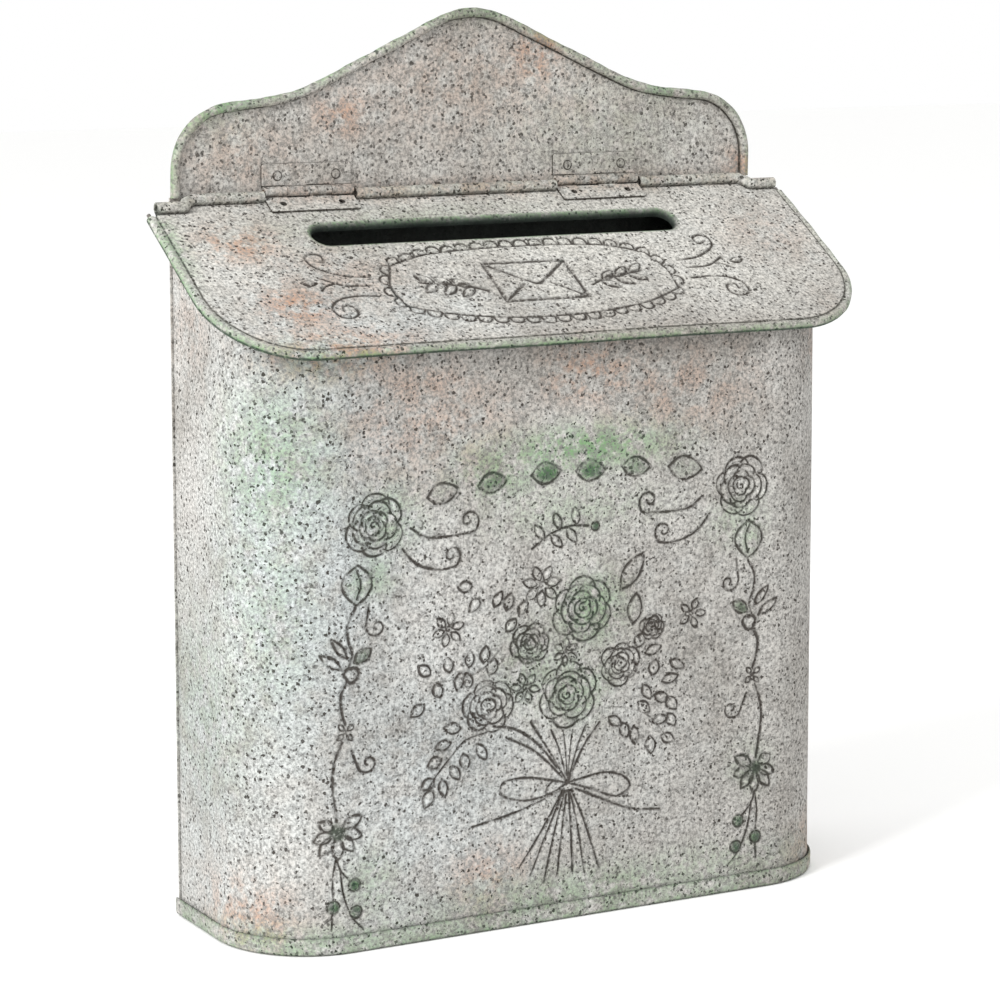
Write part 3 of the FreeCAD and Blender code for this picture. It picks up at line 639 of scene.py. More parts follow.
RUST_AND_SHADOW = (
    # painted shadow: the first patch is a brown band along the foot of the lid's rear curl
    ((0, -5, 279), (138, 7, 4), 0.4), ((130, -4, 284), (12, 8, 7), 0.7),
    ((-60, -76, 212), (26, 14, 8), 0.4), ((-113, -25, 262), (15, 13, 9), 0.75),
    ((-105, -58, 241), (14, 15, 10), 0.8), ((-85, -45, 250), (30, 22, 14), 0.25),
    ((-57, -4, 309), (13, 8, 9), 0.7), ((30, -4, 331), (11, 8, 13), 0.8),
    ((-95, -74, 226), (28, 24, 9), 0.75), ((10, -76, 213), (20, 14, 11), 0.75),
    ((122, -40, 218), (12, 32, 14), 0.7), ((-122, -50, 14), (13, 22, 13), 0.7),
    ((-35, -76, 22), (16, 12, 12), 0.45), ((122, -60, 12), (16, 20, 12), 0.6),
    ((-60, -76, 200), (34, 14, 22), 0.35), ((50, -76, 205), (36, 14, 18), 0.35),
    ((0, -4, 318), (60, 8, 24), 0.25), ((-100, -4, 295), (26, 8, 16), 0.3),
    ((118, -30, 255), (20, 20, 16), 0.25), ((60, 0, 160), (40, 8, 34), 0.5),
    ((-50, 0, 60), (44, 8, 30), 0.5), ((-131, -18, 235), (12, 20, 22), 0.2),
    ((131, -30, 60), (12, 30, 30), 0.4), ((-70, 0, 230), (34, 8, 20), 0.35),
)
BLOOM = (
    ((-110, -66, 150), (40, 30, 90), 0.6), ((-60, -76, 60), (44, 20, 50), 0.45),
    ((-128, -30, 70), (20, 40, 60), 0.4), ((-80, -62, 235), (50, 20, 12), 0.4),
    ((20, -76, 60), (40, 20, 34), 0.12),
)
SOOT_AND_SHADE = (
    # painted shadow: these two patches darken a band of the front just under the lid's edge
    ((60, -76, 222), (70, 16, 11), 0.7), ((-20, -76, 217), (60, 16, 11), 0.6),
    # painted shade: the first patch darkens the right-hand front corner; painted shadow: the second darkens
    # the hinge line at the foot of the lid's curl
    ((105, -72, 200), (30, 20, 40), 0.3), ((0, -6, 284), (125, 8, 5), 0.25),
    # painted shade: the second patch darkens the right-hand corner and side from foot to top
    ((-3, -3, 343), (10, 5, 8), 0.8), ((116, -56, 100), (26, 40, 120), 0.45),
    # the first patch darkens the lower right of the front
    ((70, -76, 50), (46, 14, 60), 0.25), ((35, -76, 150), (50, 14, 40), 0.08),
    ((0, -4, 300), (120, 6, 14), 0.2),
)


def patch_weight(places, patches):
    """How strongly soft patches cover each place."""
    cover = np.zeros(len(places))
    for middle, reach, strength in patches:
        distance = np.linalg.norm((places - np.array(middle)) / np.array(reach), axis=1)
        cover = np.maximum(cover, strength * np.exp(-0.8 * distance ** 2.4))
    return cover


def weather_and_shade(mesh, dirt, moss, base_coat_and_shade):
    """Writes on each vertex how much moss, rust, bloom, dirt, soot and bare base coat it has; the rust, soot,
    dirt and base coat marks also carry painted shadow and shade.
    """
    places = np.zeros(len(mesh.vertices) * 3)
    mesh.vertices.foreach_get("co", places)
    places = places.reshape(-1, 3) / MM - np.array((0, 0, FOOT))
    values = np.stack([
        np.clip(np.maximum(patch_weight(places, MOSS), moss), 0, 1),
        patch_weight(places, RUST_AND_SHADOW),
        patch_weight(places, BLOOM),
        np.ones(len(places)),
    ], axis=-1)
    mesh.attributes.new("weather_and_shade", "FLOAT_COLOR", "POINT").data.foreach_set("color", values.ravel())
    mesh.attributes.new("dirt", "FLOAT", "POINT").data.foreach_set("value", np.asarray(dirt, float))
    mesh.attributes.new("soot_and_shade", "FLOAT", "POINT").data.foreach_set("value", patch_weight(places, SOOT_AND_SHADE))
    mesh.attributes.new("base_coat_and_shade", "FLOAT", "POINT").data.foreach_set("value", np.asarray(base_coat_and_shade, float))


def finish_mesh(name, places, faces, dirt, moss, base_coat_and_shade=None):
    """A smooth-shaded object with its weather and painted shade on it."""
    mesh = bpy.data.meshes.new(name)
    mesh.from_pydata([tuple(place) for place in places], [], [tuple(int(i) for i in face) for face in faces])
    shape = bmesh.new()
    shape.from_mesh(mesh)
    bmesh.ops.recalc_face_normals(shape, faces=shape.faces)
    shape.to_mesh(mesh)
    shape.free()
    weather_and_shade(mesh, dirt, moss, np.zeros(len(places)) if base_coat_and_shade is None else base_coat_and_shade)
    mesh.shade_smooth()
    mesh.set_sharp_from_angle(angle=math.radians(40))
    piece = bpy.data.objects.new(name, mesh)
    bpy.context.scene.collection.objects.link(piece)
    return piece


def shell_fold(place):
    """The mouth's edge turned over inwards and pressed flat against the wall."""
    over = [(SHEET * math.sin(part), -SHEET * (1 - math.cos(part)), 0.2, 0.3, 0.3 * part)
            for part in np.linspace(0.35, math.pi - 0.35, 5)]
    # The rows turned inside the box are darkened and take the base coat: painted shade inside the box.
    return over + [(0, -2 * SHEET, 0.1, 0, 1), (-RIM_FOLD, -2 * SHEET, 0.2, 0, 1),
                   (-RIM_FOLD - 0.35, -1.6 * SHEET, 0.6, 0, 1), (-RIM_FOLD, -1.1 * SHEET, 0.8, 0, 1),
                   (-0.3, -1.06 * SHEET, 0.8, 0, 1)]


def front_shell():
    foot = SHEET
    flat = HALF_WIDTH - FRONT_CORNER
    end = flat + FRONT_CORNER * math.pi / 2 + (-SHEET - REAR_BEND - FRONT_Y - FRONT_CORNER)
    end += REAR_BEND * math.pi / 2 + FLANGE - REAR_BEND
    runs = np.unique(np.concatenate([np.linspace(-end, end, 201), [-end + FLANGE, end - FLANGE]]))
    depth = shell_point(runs, 0, 0)[:, 1] / MM
    mouth = lid_plane_height(depth, LID_TOP - SHEET - MOUTH_PLAY) - SHEET - 0.1
    top = np.stack([runs, mouth], axis=-1)[::-1]
    bottom = np.stack([np.linspace(-end, end, 201), np.full(201, foot)], axis=-1)
    right = np.stack([np.full(81, end), np.linspace(foot, mouth[-1], 81)], axis=-1)
    left = np.stack([np.full(81, -end), np.linspace(mouth[0], foot, 81)], axis=-1)
    pressing = press_front()
    grid = even_grid(np.arange(-201.6, 202, PITCH), np.arange(4.8, 276, PITCH))
    inner = np.vstack([grid[pressing.beyond(grid)], pressing.lattice()])
    edge = plain_edge(SHEET)

    def calm(flat):
        """Where the sheet may be uneven: away from the foot, the mouth and the flanges."""
        run, height = np.abs(flat[:, 0]), flat[:, 1]
        return np.clip((height - 4) / 20, 0, 1) * np.clip((240 - height) / 20, 0, 1) * (
            np.clip((188 - run) / 12, 0, 1))

    return sheet_piece("front_shell_sheet", shell_point, [(bottom, edge), (right, edge), (top, shell_fold),
                       (left, edge)], SHEET, inner, pressing=pressing, wave=(0.3, 80, 3), wave_mask=calm)


def linear(code):
    """An sRGB hex colour as linear RGBA."""
    channels = [int(code[start:start + 2], 16) / 255 for start in (1, 3, 5)]
    return [c / 12.92 if c <= 0.04045 else ((c + 0.055) / 1.055) ** 2.4 for c in channels] + [1.0]


# Layers of flecks: how far apart in millimetres, how wide as a share of that, and the share left clear.
FLECKS = ((1.6, 0.43, 0.4), (2.3, 0.33, 0.36), (6.0, 0.15, 0.5))


def node(tree, kind, settings=None, **links):
    """Adds a shader node with its settings and links.

    A link is a value or another node's output. Its input is named, with _ for a space, or is i and a number.
    """
    made = tree.nodes.new("ShaderNode" + kind)
    for key, value in (settings or {}).items():
        setattr(made, key, value)
    for key, value in links.items():
        place = int(key[1:]) if key[0] == "i" and key[1:].isdigit() else key.replace("_", " ")
        if isinstance(value, bpy.types.NodeSocket):
            tree.links.new(value, made.inputs[place])
        else:
            made.inputs[place].default_value = value
    return made


def chalky_paint(name, light="#a6a4a0", dark="#8c8984", pits=1.0):
    """Brushed-on chalk paint over a dark bottle-green base coat, rubbed back and flicked with dark stain.

    It is matt and grainy. Dark flecks about 1 mm across lie all over it, with fewer bigger pits. Where moss,
    rust or bloom is marked on the mesh, it soaks in unevenly, and dirt stays in cut lines and creases. The
    rust, soot and dirt marks also carry painted shadow and shade, and inside faces have the dark base coat
    alone, dark enough to stand in for the shade inside the box.
    """
    material = bpy.data.materials.new(name)
    material.use_nodes = True
    tree = material.node_tree
    tree.nodes.clear()
    place = node(tree, "TexCoord").outputs["Object"]
    smooth_step = {"interpolation_type": "SMOOTHSTEP"}
    add, times, less, share_out = ({"operation": name} for name in ("ADD", "MULTIPLY", "SUBTRACT", "DIVIDE"))
    mixed = {"data_type": "RGBA"}

    # noise sizes in millimetres: brush strokes, clouds, chalk grain, rust, moss, and old dirt rubbed out
    broad, cloud, grain, rust_noise, moss_noise, rubbing = (
        node(tree, "TexNoise", Vector=place, Scale=1000 / size, Detail=detail, Roughness=rough).outputs["Fac"]
        for size, detail, rough in ((60, 3, 0.6), (11, 4, 0.62), (1.25, 2, 0.8), (8, 3, 0.7), (6, 3, 0.72),
                                    (1.6, 2, 0.6)))

    # flecks: cells up to 6 mm apart, bent out of round, some of them holding one dark fleck
    bend = node(tree, "TexNoise", Vector=place, Scale=1000 / 1.2, Detail=1, Roughness=0.6).outputs["Color"]
    bend = node(tree, "VectorMath", {"operation": "SCALE"}, i0=bend, Scale=0.0016).outputs[0]
    bent = node(tree, "VectorMath", add, i0=place, i1=bend).outputs[0]
    fleck = 0.0
    for spacing, size, share in FLECKS:
        cells = node(tree, "TexVoronoi", Vector=bent, Scale=1000 / spacing)
        draw = node(tree, "SeparateColor", Color=cells.outputs["Color"]).outputs
        held, strength = (
            node(tree, "MapRange", smooth_step, Value=drawn, i1=low, i2=high, i3=least).outputs[0]
            for drawn, low, high, least in ((draw[0], share, share + 0.04, 0.0), (draw[2], 0.0, 0.8, 0.35)))
        width = node(tree, "Math", {"operation": "MULTIPLY_ADD"}, i0=draw[1], i1=size * 0.6, i2=size * 0.5)
        away = node(tree, "Math", share_out, i0=cells.outputs["Distance"], i1=width.outputs[0])
        spot = node(tree, "Math", less, i0=1.0, i1=away.outputs[0]).outputs[0]
        spot = node(tree, "MapRange", smooth_step, Value=spot, i1=0.0, i2=0.2).outputs[0]
        for factor in (held, strength):
            spot = node(tree, "Math", times, i0=spot, i1=factor).outputs[0]
        fleck = node(tree, "Math", {"operation": "MAXIMUM"}, i0=fleck, i1=spot).outputs[0]

    marks = node(tree, "Attribute", {"attribute_name": "weather_and_shade"}).outputs["Color"]
    moss, rust_and_shadow, bloom = node(tree, "SeparateColor", Color=marks).outputs
    # The dirt, soot and base-coat marks also carry painted shade: under the lid and its beads, in holes, down
    # the slot and inside the box.
    dirt, soot_and_shade, base_coat_and_shade = (node(tree, "Attribute", {"attribute_name": mark}).outputs["Fac"]
                        for mark in ("dirt", "soot_and_shade", "base_coat_and_shade"))

    # each field between two of its values becomes a weight between two others
    (fewer, shade, haze, clouded, rusty, damp, speck, thin, tone, kept, depth) = (
        node(tree, "MapRange", smooth_step, Value=field, i1=low, i2=high, i3=least, i4=most).outputs[0]
        for field, low, high, least, most in (
            (cloud, 0.3, 0.55, 0.6, 1.0), (broad, 0.35, 0.65, 0.0, 1.0), (cloud, 0.38, 0.7, 0.0, 0.4),
            (cloud, 0.3, 0.6, 0.3, 1.0), (rust_noise, 0.36, 0.6, 0.0, 1.0),
            (moss_noise, 0.34, 0.56, 0.0, 1.0), (grain, 0.36, 0.6, 0.35, 1.0), (cloud, 0.3, 0.6, 0.3, 0.7),
            (grain, 0.3, 0.7, 0.6, 1.55), (rubbing, 0.32, 0.52, 0.55, 1.4), (cloud, 0.35, 0.65, 0.0, 1.0)))
    fleck = node(tree, "Math", times, i0=fleck, i1=fewer).outputs[0]
    whole, rough = (node(tree, "MapRange", smooth_step, Value=fleck, i3=least, i4=most).outputs[0]
                    for least, most in ((0.95, 0.75), (0.68, 0.9)))
    bloomed, rust_and_shadow_cover, mossed, soot_and_shade_cover, stained, packed_dirt_and_shade, base_coat_and_shade_cover, rise, pit = (
        node(tree, "Math", times, i0=first, i1=second).outputs[0]
        for first, second in ((bloom, clouded), (rust_and_shadow, rusty), (moss, damp), (soot_and_shade, thin),
                              (fleck, 0.95 * pits), (dirt, kept), (base_coat_and_shade, whole), (grain, 0.6),
                              (fleck, 0.7 * pits)))
    rust_and_shadow_cover, mossed = (node(tree, "Math", times, i0=first, i1=speck).outputs[0] for first in (rust_and_shadow_cover, mossed))
    packed_dirt_and_shade = node(tree, "Math", {"operation": "MINIMUM"}, i0=packed_dirt_and_shade, i1=0.92).outputs[0]

    # old is the colour of old dirt and also of painted shade in folds, holes and under beads; base is the
    # dark base coat, also standing in for the shade inside the box.
    stain, old, base = (
        node(tree, "Mix", mixed, i0=weight, i6=linear(under), i7=linear(over)).outputs[2]
        for weight, under, over in ((moss, "#2e2924", "#213527"), (moss, "#2e2822", "#24392b"),
                                    (depth, "#1b211e", "#2b322d")))
    tone = node(tree, "CombineColor", i0=tone, i1=tone, i2=tone).outputs[0]
    colour = linear(dark)
    # The soot colour also paints the shadow under the lid's edge and the shade on the right-hand corner, and
    # the rust colour the shadow along the lid's rear curl.
    for weight, over, mode in (
            (shade, linear(light), "MIX"), (haze, linear("#adaeab"), "MIX"),
            (bloomed, linear("#a1a9ab"), "MIX"), (rust_and_shadow_cover, linear("#96694a"), "MIX"),
            (mossed, linear("#517a48"), "MIX"), (soot_and_shade_cover, linear("#6a635b"), "MIX"),
            (1.0, tone, "MULTIPLY"), (stained, stain, "MIX"), (packed_dirt_and_shade, old, "MIX"), (base_coat_and_shade_cover, base, "MIX")):
        colour = node(tree, "Mix", {"data_type": "RGBA", "blend_type": mode}, i0=weight, i6=colour,
                      i7=over).outputs[2]

    height = node(tree, "Math", less, i0=rise, i1=pit).outputs[0]
    bump = node(tree, "Bump", Height=height, Strength=0.6, Distance=0.0004).outputs[0]
    shader = node(tree, "BsdfPrincipled", Base_Color=colour, Normal=bump, Roughness=rough,
                  Specular_IOR_Level=0.3)
    node(tree, "OutputMaterial", Surface=shader.outputs[0])
    return material


def dress(piece, body, slot, material, *nodes):
    """Gives a piece its material and its body, and lets it stand for its CAD nodes; its record slot is not
    used.
    """
    piece.data.materials.clear()
    piece.data.materials.append(material)
    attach(piece, body)
    if nodes:
        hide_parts(*nodes)


box_paint = chalky_paint("chalk_paint_box")
dress(front_shell(), "root", "painted_sheet", box_paint, "front_shell")


# ---- bottom pan --------------------------------------------------------------------------------------
# A flat bottom of the same sheet, its edge turned up round the shell's foot and rolled tight to make a seam.
# The seam stands 1.4 mm proud of the shell, and moss and dirt gather along it.

def pan_point(x, y, lift):
    return row_points(x, y, FOOT + SHEET + lift)


def seam(place):
    """The turned-up rim, from the floor inside the shell, over the seam's top and round under the pan."""
    return [(0.3, 0.0, 0.5, 0.0, 1), (0.42, 5.6, 0.9, 0.3), (0.62, 5.95, 1.0, 0.4), (0.95, 6.0, 0.5, 0.5),
            (1.25, 5.6, 0.15, 0.5), (1.4, 4.9, 0.0, 0.35), (1.36, 3.4, 0.0, 0.3), (1.3, 1.6, 0.0, 0.4),
            (1.25, 0.3, 0.0, 0.55), (0.95, -0.4, 0.3, 0.6), (0.3, -0.76, 0.6, 0.4)]


def bottom_pan():
    front = rounded_line([(-HALF_WIDTH, 0, 0), (-HALF_WIDTH, FRONT_Y, FRONT_CORNER),
                          (HALF_WIDTH, FRONT_Y, FRONT_CORNER), (HALF_WIDTH, 0, 0)])
    rear = rounded_line([(HALF_WIDTH, 0, 0), (-HALF_WIDTH, 0, 0)], 6.0)
    grid = even_grid(np.arange(-128, 129, 2 * PITCH), np.arange(-70.4, 0, 2 * PITCH))
    # The floor inside the box takes the dark base coat, which also stands in for the shade inside the box.
    return sheet_piece("bottom_pan_sheet", pan_point, [(front, seam), (rear, plain_edge(SHEET))], SHEET, grid,
                       wave=(0.0, 60, 5), inside=(1.0, 0.15))


dress(bottom_pan(), "root", "painted_sheet", box_paint, "bottom_pan")


# ---- back panel and its wire -------------------------------------------------------------------------
# A flat sheet that closes the rear and rises above the lid as a crown, with two holes for the wall screws.
# The crown's edge is rolled forward over a drawn steel wire, so the hem is a little uneven and worn green.

HEM = 1.8
CROWN_HEM_Y = HEM + 0.1
HEM_START = AXIS_Z - FOOT - 1.0
HEM_INSIDE = 2 * HEM + 0.5
SCREW_X, SCREW_Z, SCREW_HOLE = 80.0, 240.0, 2.75


def panel_point(x, z, lift):
    return row_points(x, -SHEET - lift, FOOT + z)


def crown_line(inset):
    """The crown's outline from its right foot over the peak to its left foot, this far inside its edge."""
    axis = AXIS_Z - FOOT
    half = HALF_WIDTH
    corners = [(half, HEM_START, 0), (half, axis + 32, 26), (half - 52.2, axis + 37.5, 75),
               (0, axis + 73, 38), (52.2 - half, axis + 37.5, 75), (-half, axis + 32, 26),
               (-half, HEM_START, 0)]
    line = rounded_line(corners, 2.0)
    return line - edge_normals(line, False) * inset


def rolled_hem(place):
    """The hem's section: a crease where the roll meets the sheet, then round the wire to the rear face."""
    middle = (HEM_INSIDE - HEM, CROWN_HEM_Y - SHEET)
    uneven = 1 + 0.07 * math.sin(place[0] * 0.31 + place[1] * 0.17) + 0.04 * math.sin(place[0] * 0.9)
    rows = [(0.42, -0.12, 0.9, 0.1)]
    for angle in np.radians((205, 180, 150, 120, 90, 60, 30, 0, -30, -60, -88)):
        radius = HEM * uneven if angle > -0.6 else HEM
        crease = 0.8 if angle > 3.4 else (0.35 if angle > 3.0 else 0.05)
        worn = 0.65 if angle < 0.8 else (0.35 if angle < 1.7 else 0.08)
        rows.append((*round_point(middle, radius, angle), crease, worn))
    return rows + [(middle[0] - HEM, -SHEET + 0.02, 0.3, 0.2)]


def round_hole(x, z, radius, count):
    """A round hole's outline, clockwise."""
    angle = np.linspace(0, -2 * math.pi, count, endpoint=False)
    return np.stack([x + radius * np.cos(angle), z + radius * np.sin(angle)], axis=-1)


def back_panel():
    crown = crown_line(HEM_INSIDE)
    right_foot, left_foot = crown[0], crown[-1]
    foot = SHEET
    right = rounded_line([(HALF_WIDTH, foot, 0), (HALF_WIDTH, HEM_START, 0),
                          (right_foot[0], HEM_START, 0)], 4.0)
    left = rounded_line([(left_foot[0], HEM_START, 0), (-HALF_WIDTH, HEM_START, 0),
                         (-HALF_WIDTH, foot, 0)], 4.0)
    bottom = rounded_line([(-HALF_WIDTH, foot, 0), (HALF_WIDTH, foot, 0)], 4.0)
    holes = [(round_hole(side * SCREW_X, SCREW_Z, SCREW_HOLE, 24), plain_edge(SHEET)) for side in (-1, 1)]
    grid = even_grid(np.arange(-128, 129, PITCH), np.arange(PITCH, 350, PITCH))
    edge = plain_edge(SHEET)

    def calm(flat):
        """Where the sheet may be uneven: on the crown alone."""
        return np.clip((flat[:, 1] - 285) / 15, 0, 1) * 0.6

    def base_coat_and_shade_cover(flat):
        """Where the dark base coat shows: inside the box, dark enough to stand in for its shade."""
        return (flat[:, 1] < AXIS_Z - FOOT - 4) * (np.abs(flat[:, 0]) < HALF_WIDTH - 3) * 1.0

    return sheet_piece("back_panel_sheet", panel_point, [(bottom, edge), (right, edge), (crown, rolled_hem),
                       (left, edge)], SHEET, grid, holes, wave=(0.2, 70, 8), wave_mask=calm,
                       inside=(base_coat_and_shade_cover, 0.2))


def drawn_wire(name, colour, roughness):
    """Drawn steel wire: grey metal with a fine grain and a little stain."""
    material = bpy.data.materials.new(name)
    material.use_nodes = True
    tree = material.node_tree
    shader = tree.nodes["Principled BSDF"]
    place = node(tree, "TexCoord").outputs["Object"]
    stain = node(tree, "TexNoise", Vector=place, Scale=180, Detail=4.0)
    tint = node(tree, "Mix", {"data_type": "RGBA"}, i0=stain.outputs["Fac"], i6=linear(colour),
                i7=linear("#6b5a4c"))
    grain = node(tree, "TexNoise", Vector=place, Scale=1500, Detail=2.0)
    bump = node(tree, "Bump", Height=grain.outputs["Fac"], Strength=0.3, Distance=0.0001)
    tree.links.new(tint.outputs[2], shader.inputs["Base Color"])
    tree.links.new(bump.outputs[0], shader.inputs["Normal"])
    shader.inputs["Metallic"].default_value = 1.0
    shader.inputs["Roughness"].default_value = roughness
    return material


panel_paint = chalky_paint("chalk_paint_crown", "#a29f9a", "#908c86", 0.9)
dress(back_panel(), "root", "painted_sheet", panel_paint, "back_panel")
hem_steel = drawn_wire("drawn_steel_hem_wire", "#9a9a98", 0.35)
for wire in ("crown_wire", "lid_edge_wire"):
    frame["nodes"][wire].data.materials.clear()
    frame["nodes"][wire].data.materials.append(hem_steel)


# ---- lid ---------------------------------------------------------------------------------------------
# One sheet with its front and sides rolled under over a wire and its rear edge curled up along the hinges.
# The letter slot has a lip turned down all round. A scalloped badge with a plain envelope, and scrolls, are
# pressed in front of it.

LID_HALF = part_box("lid_panel")[1][0] / MM - HEM
LID_CORNER = 36.0
LID_LENGTH = 94.2
HEM_DROP = -HEM + 0.1           # middle of the hem, from the lid's upper face
CURL = 2.3
CURL_SETBACK = 1.9
CURL_STEP = 4.4
STEP_X = HALF_WIDTH - 8.0
CURL_ROOT = CURL_SETBACK + 2.9  # where the flat of the lid ends and its curl begins
SLOT = (80.5, 5.7, 25.2)        # half width, half height, and setback from the hinge axis
LIP_BEND = 2.4                  # outside radius of the slot's turned-down lip
HINGE_MIDDLES = (-73.0, 56.0)
HINGE_HALF = 19.0
LEAF_HOLE = (12.5, 6.0, 1.4)    # half spacing, setback and radius


def lid_point(x, down, lift):
    """A point of the lid from its place across, its run down the slope and its lift off the upper face."""
    rise = LID_TOP + lift
    y = AXIS_Y - down * math.cos(SLOPE) - rise * math.sin(SLOPE)
    z = AXIS_Z - down * math.sin(SLOPE) + rise * math.cos(SLOPE)
    return row_points(x, y, z)


def curl_step(x):
    """How far the curl stands forward at this place across: its outer ends clear the crown's hem."""
    part = np.clip((np.abs(x) - STEP_X) / CURL_STEP, 0, 1)
    return CURL_STEP * part * part * (3 - 2 * part)


def under_hem(place):
    """The lid's hem: a crease along the flat, then a bead round its wire to the underside."""
    middle = (HEM_INSIDE - HEM, HEM_DROP)
    uneven = 1 + 0.06 * math.sin(place[0] * 0.23 + place[1] * 0.4) + 0.04 * math.sin(place[0] * 0.8)
    rows = [(0.35, -0.14, 0.55, 0.1), (0.7, -0.2, 0.7, 0.12)]
    # The bead's lower half gets 0.9 in its dark mark and its turn 0.5: painted shade under the hem's bead.
    for angle in np.radians((125, 108, 90, 65, 40, 15, -10, -40, -70, -100, -130, -160, -190)):
        radius = HEM * (uneven if angle > -0.4 else 1.0)
        worn = 0.8 if angle < 0.5 else (0.45 if angle < 1.3 else 0.15)
        soot_and_shade = 0.9 if angle < -0.1 else (0.5 if angle < 0.2 else 0.05)
        rows.append((*round_point(middle, radius, angle), soot_and_shade, worn))
    return rows + [(0.4, -SHEET - 0.15, 0.5, 0.2, 1)]


def rear_curl(place):
    """The rear edge curled up and over towards the front, open at its ends."""
    middle = (CURL_ROOT - CURL_SETBACK, -SHEET + CURL - 0.05)
    # The rows at the curl's foot and inside its roll are darkened: painted shadow along the curl's foot and
    # painted shade inside the roll.
    rows = [(0.5, 0.0, 0.3, 0.0), (0.8, 0.03, 0.65, 0.0)]
    inner = [(*round_point(middle, CURL - SHEET, angle), 0.6, 0.0)
             for angle in np.radians((-75, -40, 0, 40, 80, 120, 160, 195))]
    outer = [(*round_point(middle, CURL, angle), 0.5 if angle > 3.0 else 0.1, 0.12)
             for angle in np.radians((210, 190, 165, 135, 105, 75, 45, 15, -15, -45, -75, -90))]
    return rows + inner + outer


def rear_flap(place):
    """The plain rear edge under a hinge."""
    out = CURL_ROOT - CURL_SETBACK
    return [(out, 0.0, 0.3, 0), (out + 0.1, -0.2, 0.3, 0), (out + 0.1, -0.6, 0.3, 0), (out, -SHEET, 0.3, 0)]


def slot_lip(place):
    """The slot's edge turned down through a quarter circle."""
    rows = []
    # The dark mark rises down the turned wall and the inner face takes the base coat: painted shade going
    # down into the slot.
    for part in np.radians((14, 30, 46, 62, 76, 90)):
        rows.append((LIP_BEND * math.sin(part), -LIP_BEND * (1 - math.cos(part)), 0.6 * math.sin(part) ** 3,
                     0.5 + 0.4 * math.sin(part), math.sin(part) ** 1.2))
    inner = LIP_BEND - SHEET
    rows += [(LIP_BEND, -LIP_BEND - 0.7, 0.6, 0.6, 1), (LIP_BEND - 0.4, -LIP_BEND - 0.95, 0.6, 0.3, 1),
             (inner, -LIP_BEND - 0.7, 0.5, 0, 1), (inner, -LIP_BEND, 0.4, 0, 1)]
    rows.append((inner * math.sin(0.8), -LIP_BEND + inner * math.cos(0.8), 0.3, 0, 1))
    return rows


def press_lid():
    """The badge, its envelope and the scrolls, across from the middle and down from the hinge axis."""
    lid = Pressing((-105.6, 31.8), (105.6, 89.4))
    outline = smooth([(-57, 46), (-40, 40.6), (-18, 38.4), (2, 37.8), (22, 38.2), (42, 40.4), (56, 46)])
    outline = np.vstack([outline, smooth([(56, 46), (60.5, 57.5), (60, 69)]),
                         smooth([(60, 69), (42, 76.5), (22, 80.6), (2, 81.8), (-20, 80.8), (-42, 77),
                                 (-60, 70.5)]),
                         smooth([(-60, 70.5), (-62, 59), (-57, 46)])])
    lid.line(outline, 1.15, 0.55)
    steps = np.hypot(*np.diff(outline, axis=0).T)
    lengths = np.concatenate([[0], np.cumsum(steps)])
    count = 44
    for number in range(count):
        ends = [(number + part) * lengths[-1] / count for part in (0.04, 0.5, 0.96)]
        start, peak, stop = [np.array([np.interp(end, lengths, outline[:, axis]) for axis in (0, 1)])
                             for end in ends]
        out = np.array((-(stop - start)[1], (stop - start)[0]))
        out *= -1 / np.hypot(*out)
        bulge = random.uniform(3.2, 4.1)
        lid.curve([start, start * 0.75 + peak * 0.25 + out * bulge * 0.75, peak + out * bulge,
                  stop * 0.75 + peak * 0.25 + out * bulge * 0.75, stop], 1.1, 0.55)
    middle = 59.5
    corners = [(-18, middle - 11.5), (18, middle - 11.5), (18, middle + 12), (-18, middle + 12)]
    for start, stop in zip(corners, corners[1:] + corners[:1]):
        lid.line([start, stop], 1.6, 0.65)
    lid.curve([corners[0], (-4, middle), (0, middle + 2.2), (4, middle), corners[1]], 1.5, 0.6)
    lid.line([corners[3], (-6, middle + 2)], 1.3, 0.55)
    lid.line([corners[2], (6, middle + 2)], 1.3, 0.55)
    for side in (-1, 1):
        def mirrored(*points, side=side):
            return [(side * x, down) for x, down in points]

        lid.curve(mirrored((23, middle + 5), (31, middle + 1), (40, middle - 0.5),
                          (49, middle - 2.5)), 1.4)
        for x, lean in ((28, 38), (35, 38), (42, 36), (29, -38), (36, -38), (43, -36)):
            base = (x, middle + 3 - (x - 26) * 0.26)
            lid.leaf(*mirrored(base, round_point(base, 8.5, math.radians(lean))), 3.6, line=1.2)
        lid.curve(mirrored((68, 52), (77, 51), (84.5, 47.5), (89, 43.5), (89.6, 38.6), (86, 36.6),
                          (82.6, 38.4), (83.4, 42), (86.4, 41)), 1.25)
        lid.curve(mirrored((69, 63.5), (78, 63), (86, 64.6), (90.8, 69), (89.8, 74), (85.4, 75.8),
                          (81.6, 73.2), (82.2, 69.2), (86, 68.4), (86.8, 71.4)), 1.25)
        lid.curve(mirrored((70, 57), (79.5, 56.6), (85.4, 53.8), (90, 50.6)), 1.15)
        lid.curve(mirrored((84, 55), (88, 56.4), (91, 59)), 1.0)
        lid.leaf(*mirrored((91.5, 54.6), (97.6, 54)), 2.8)
    return lid


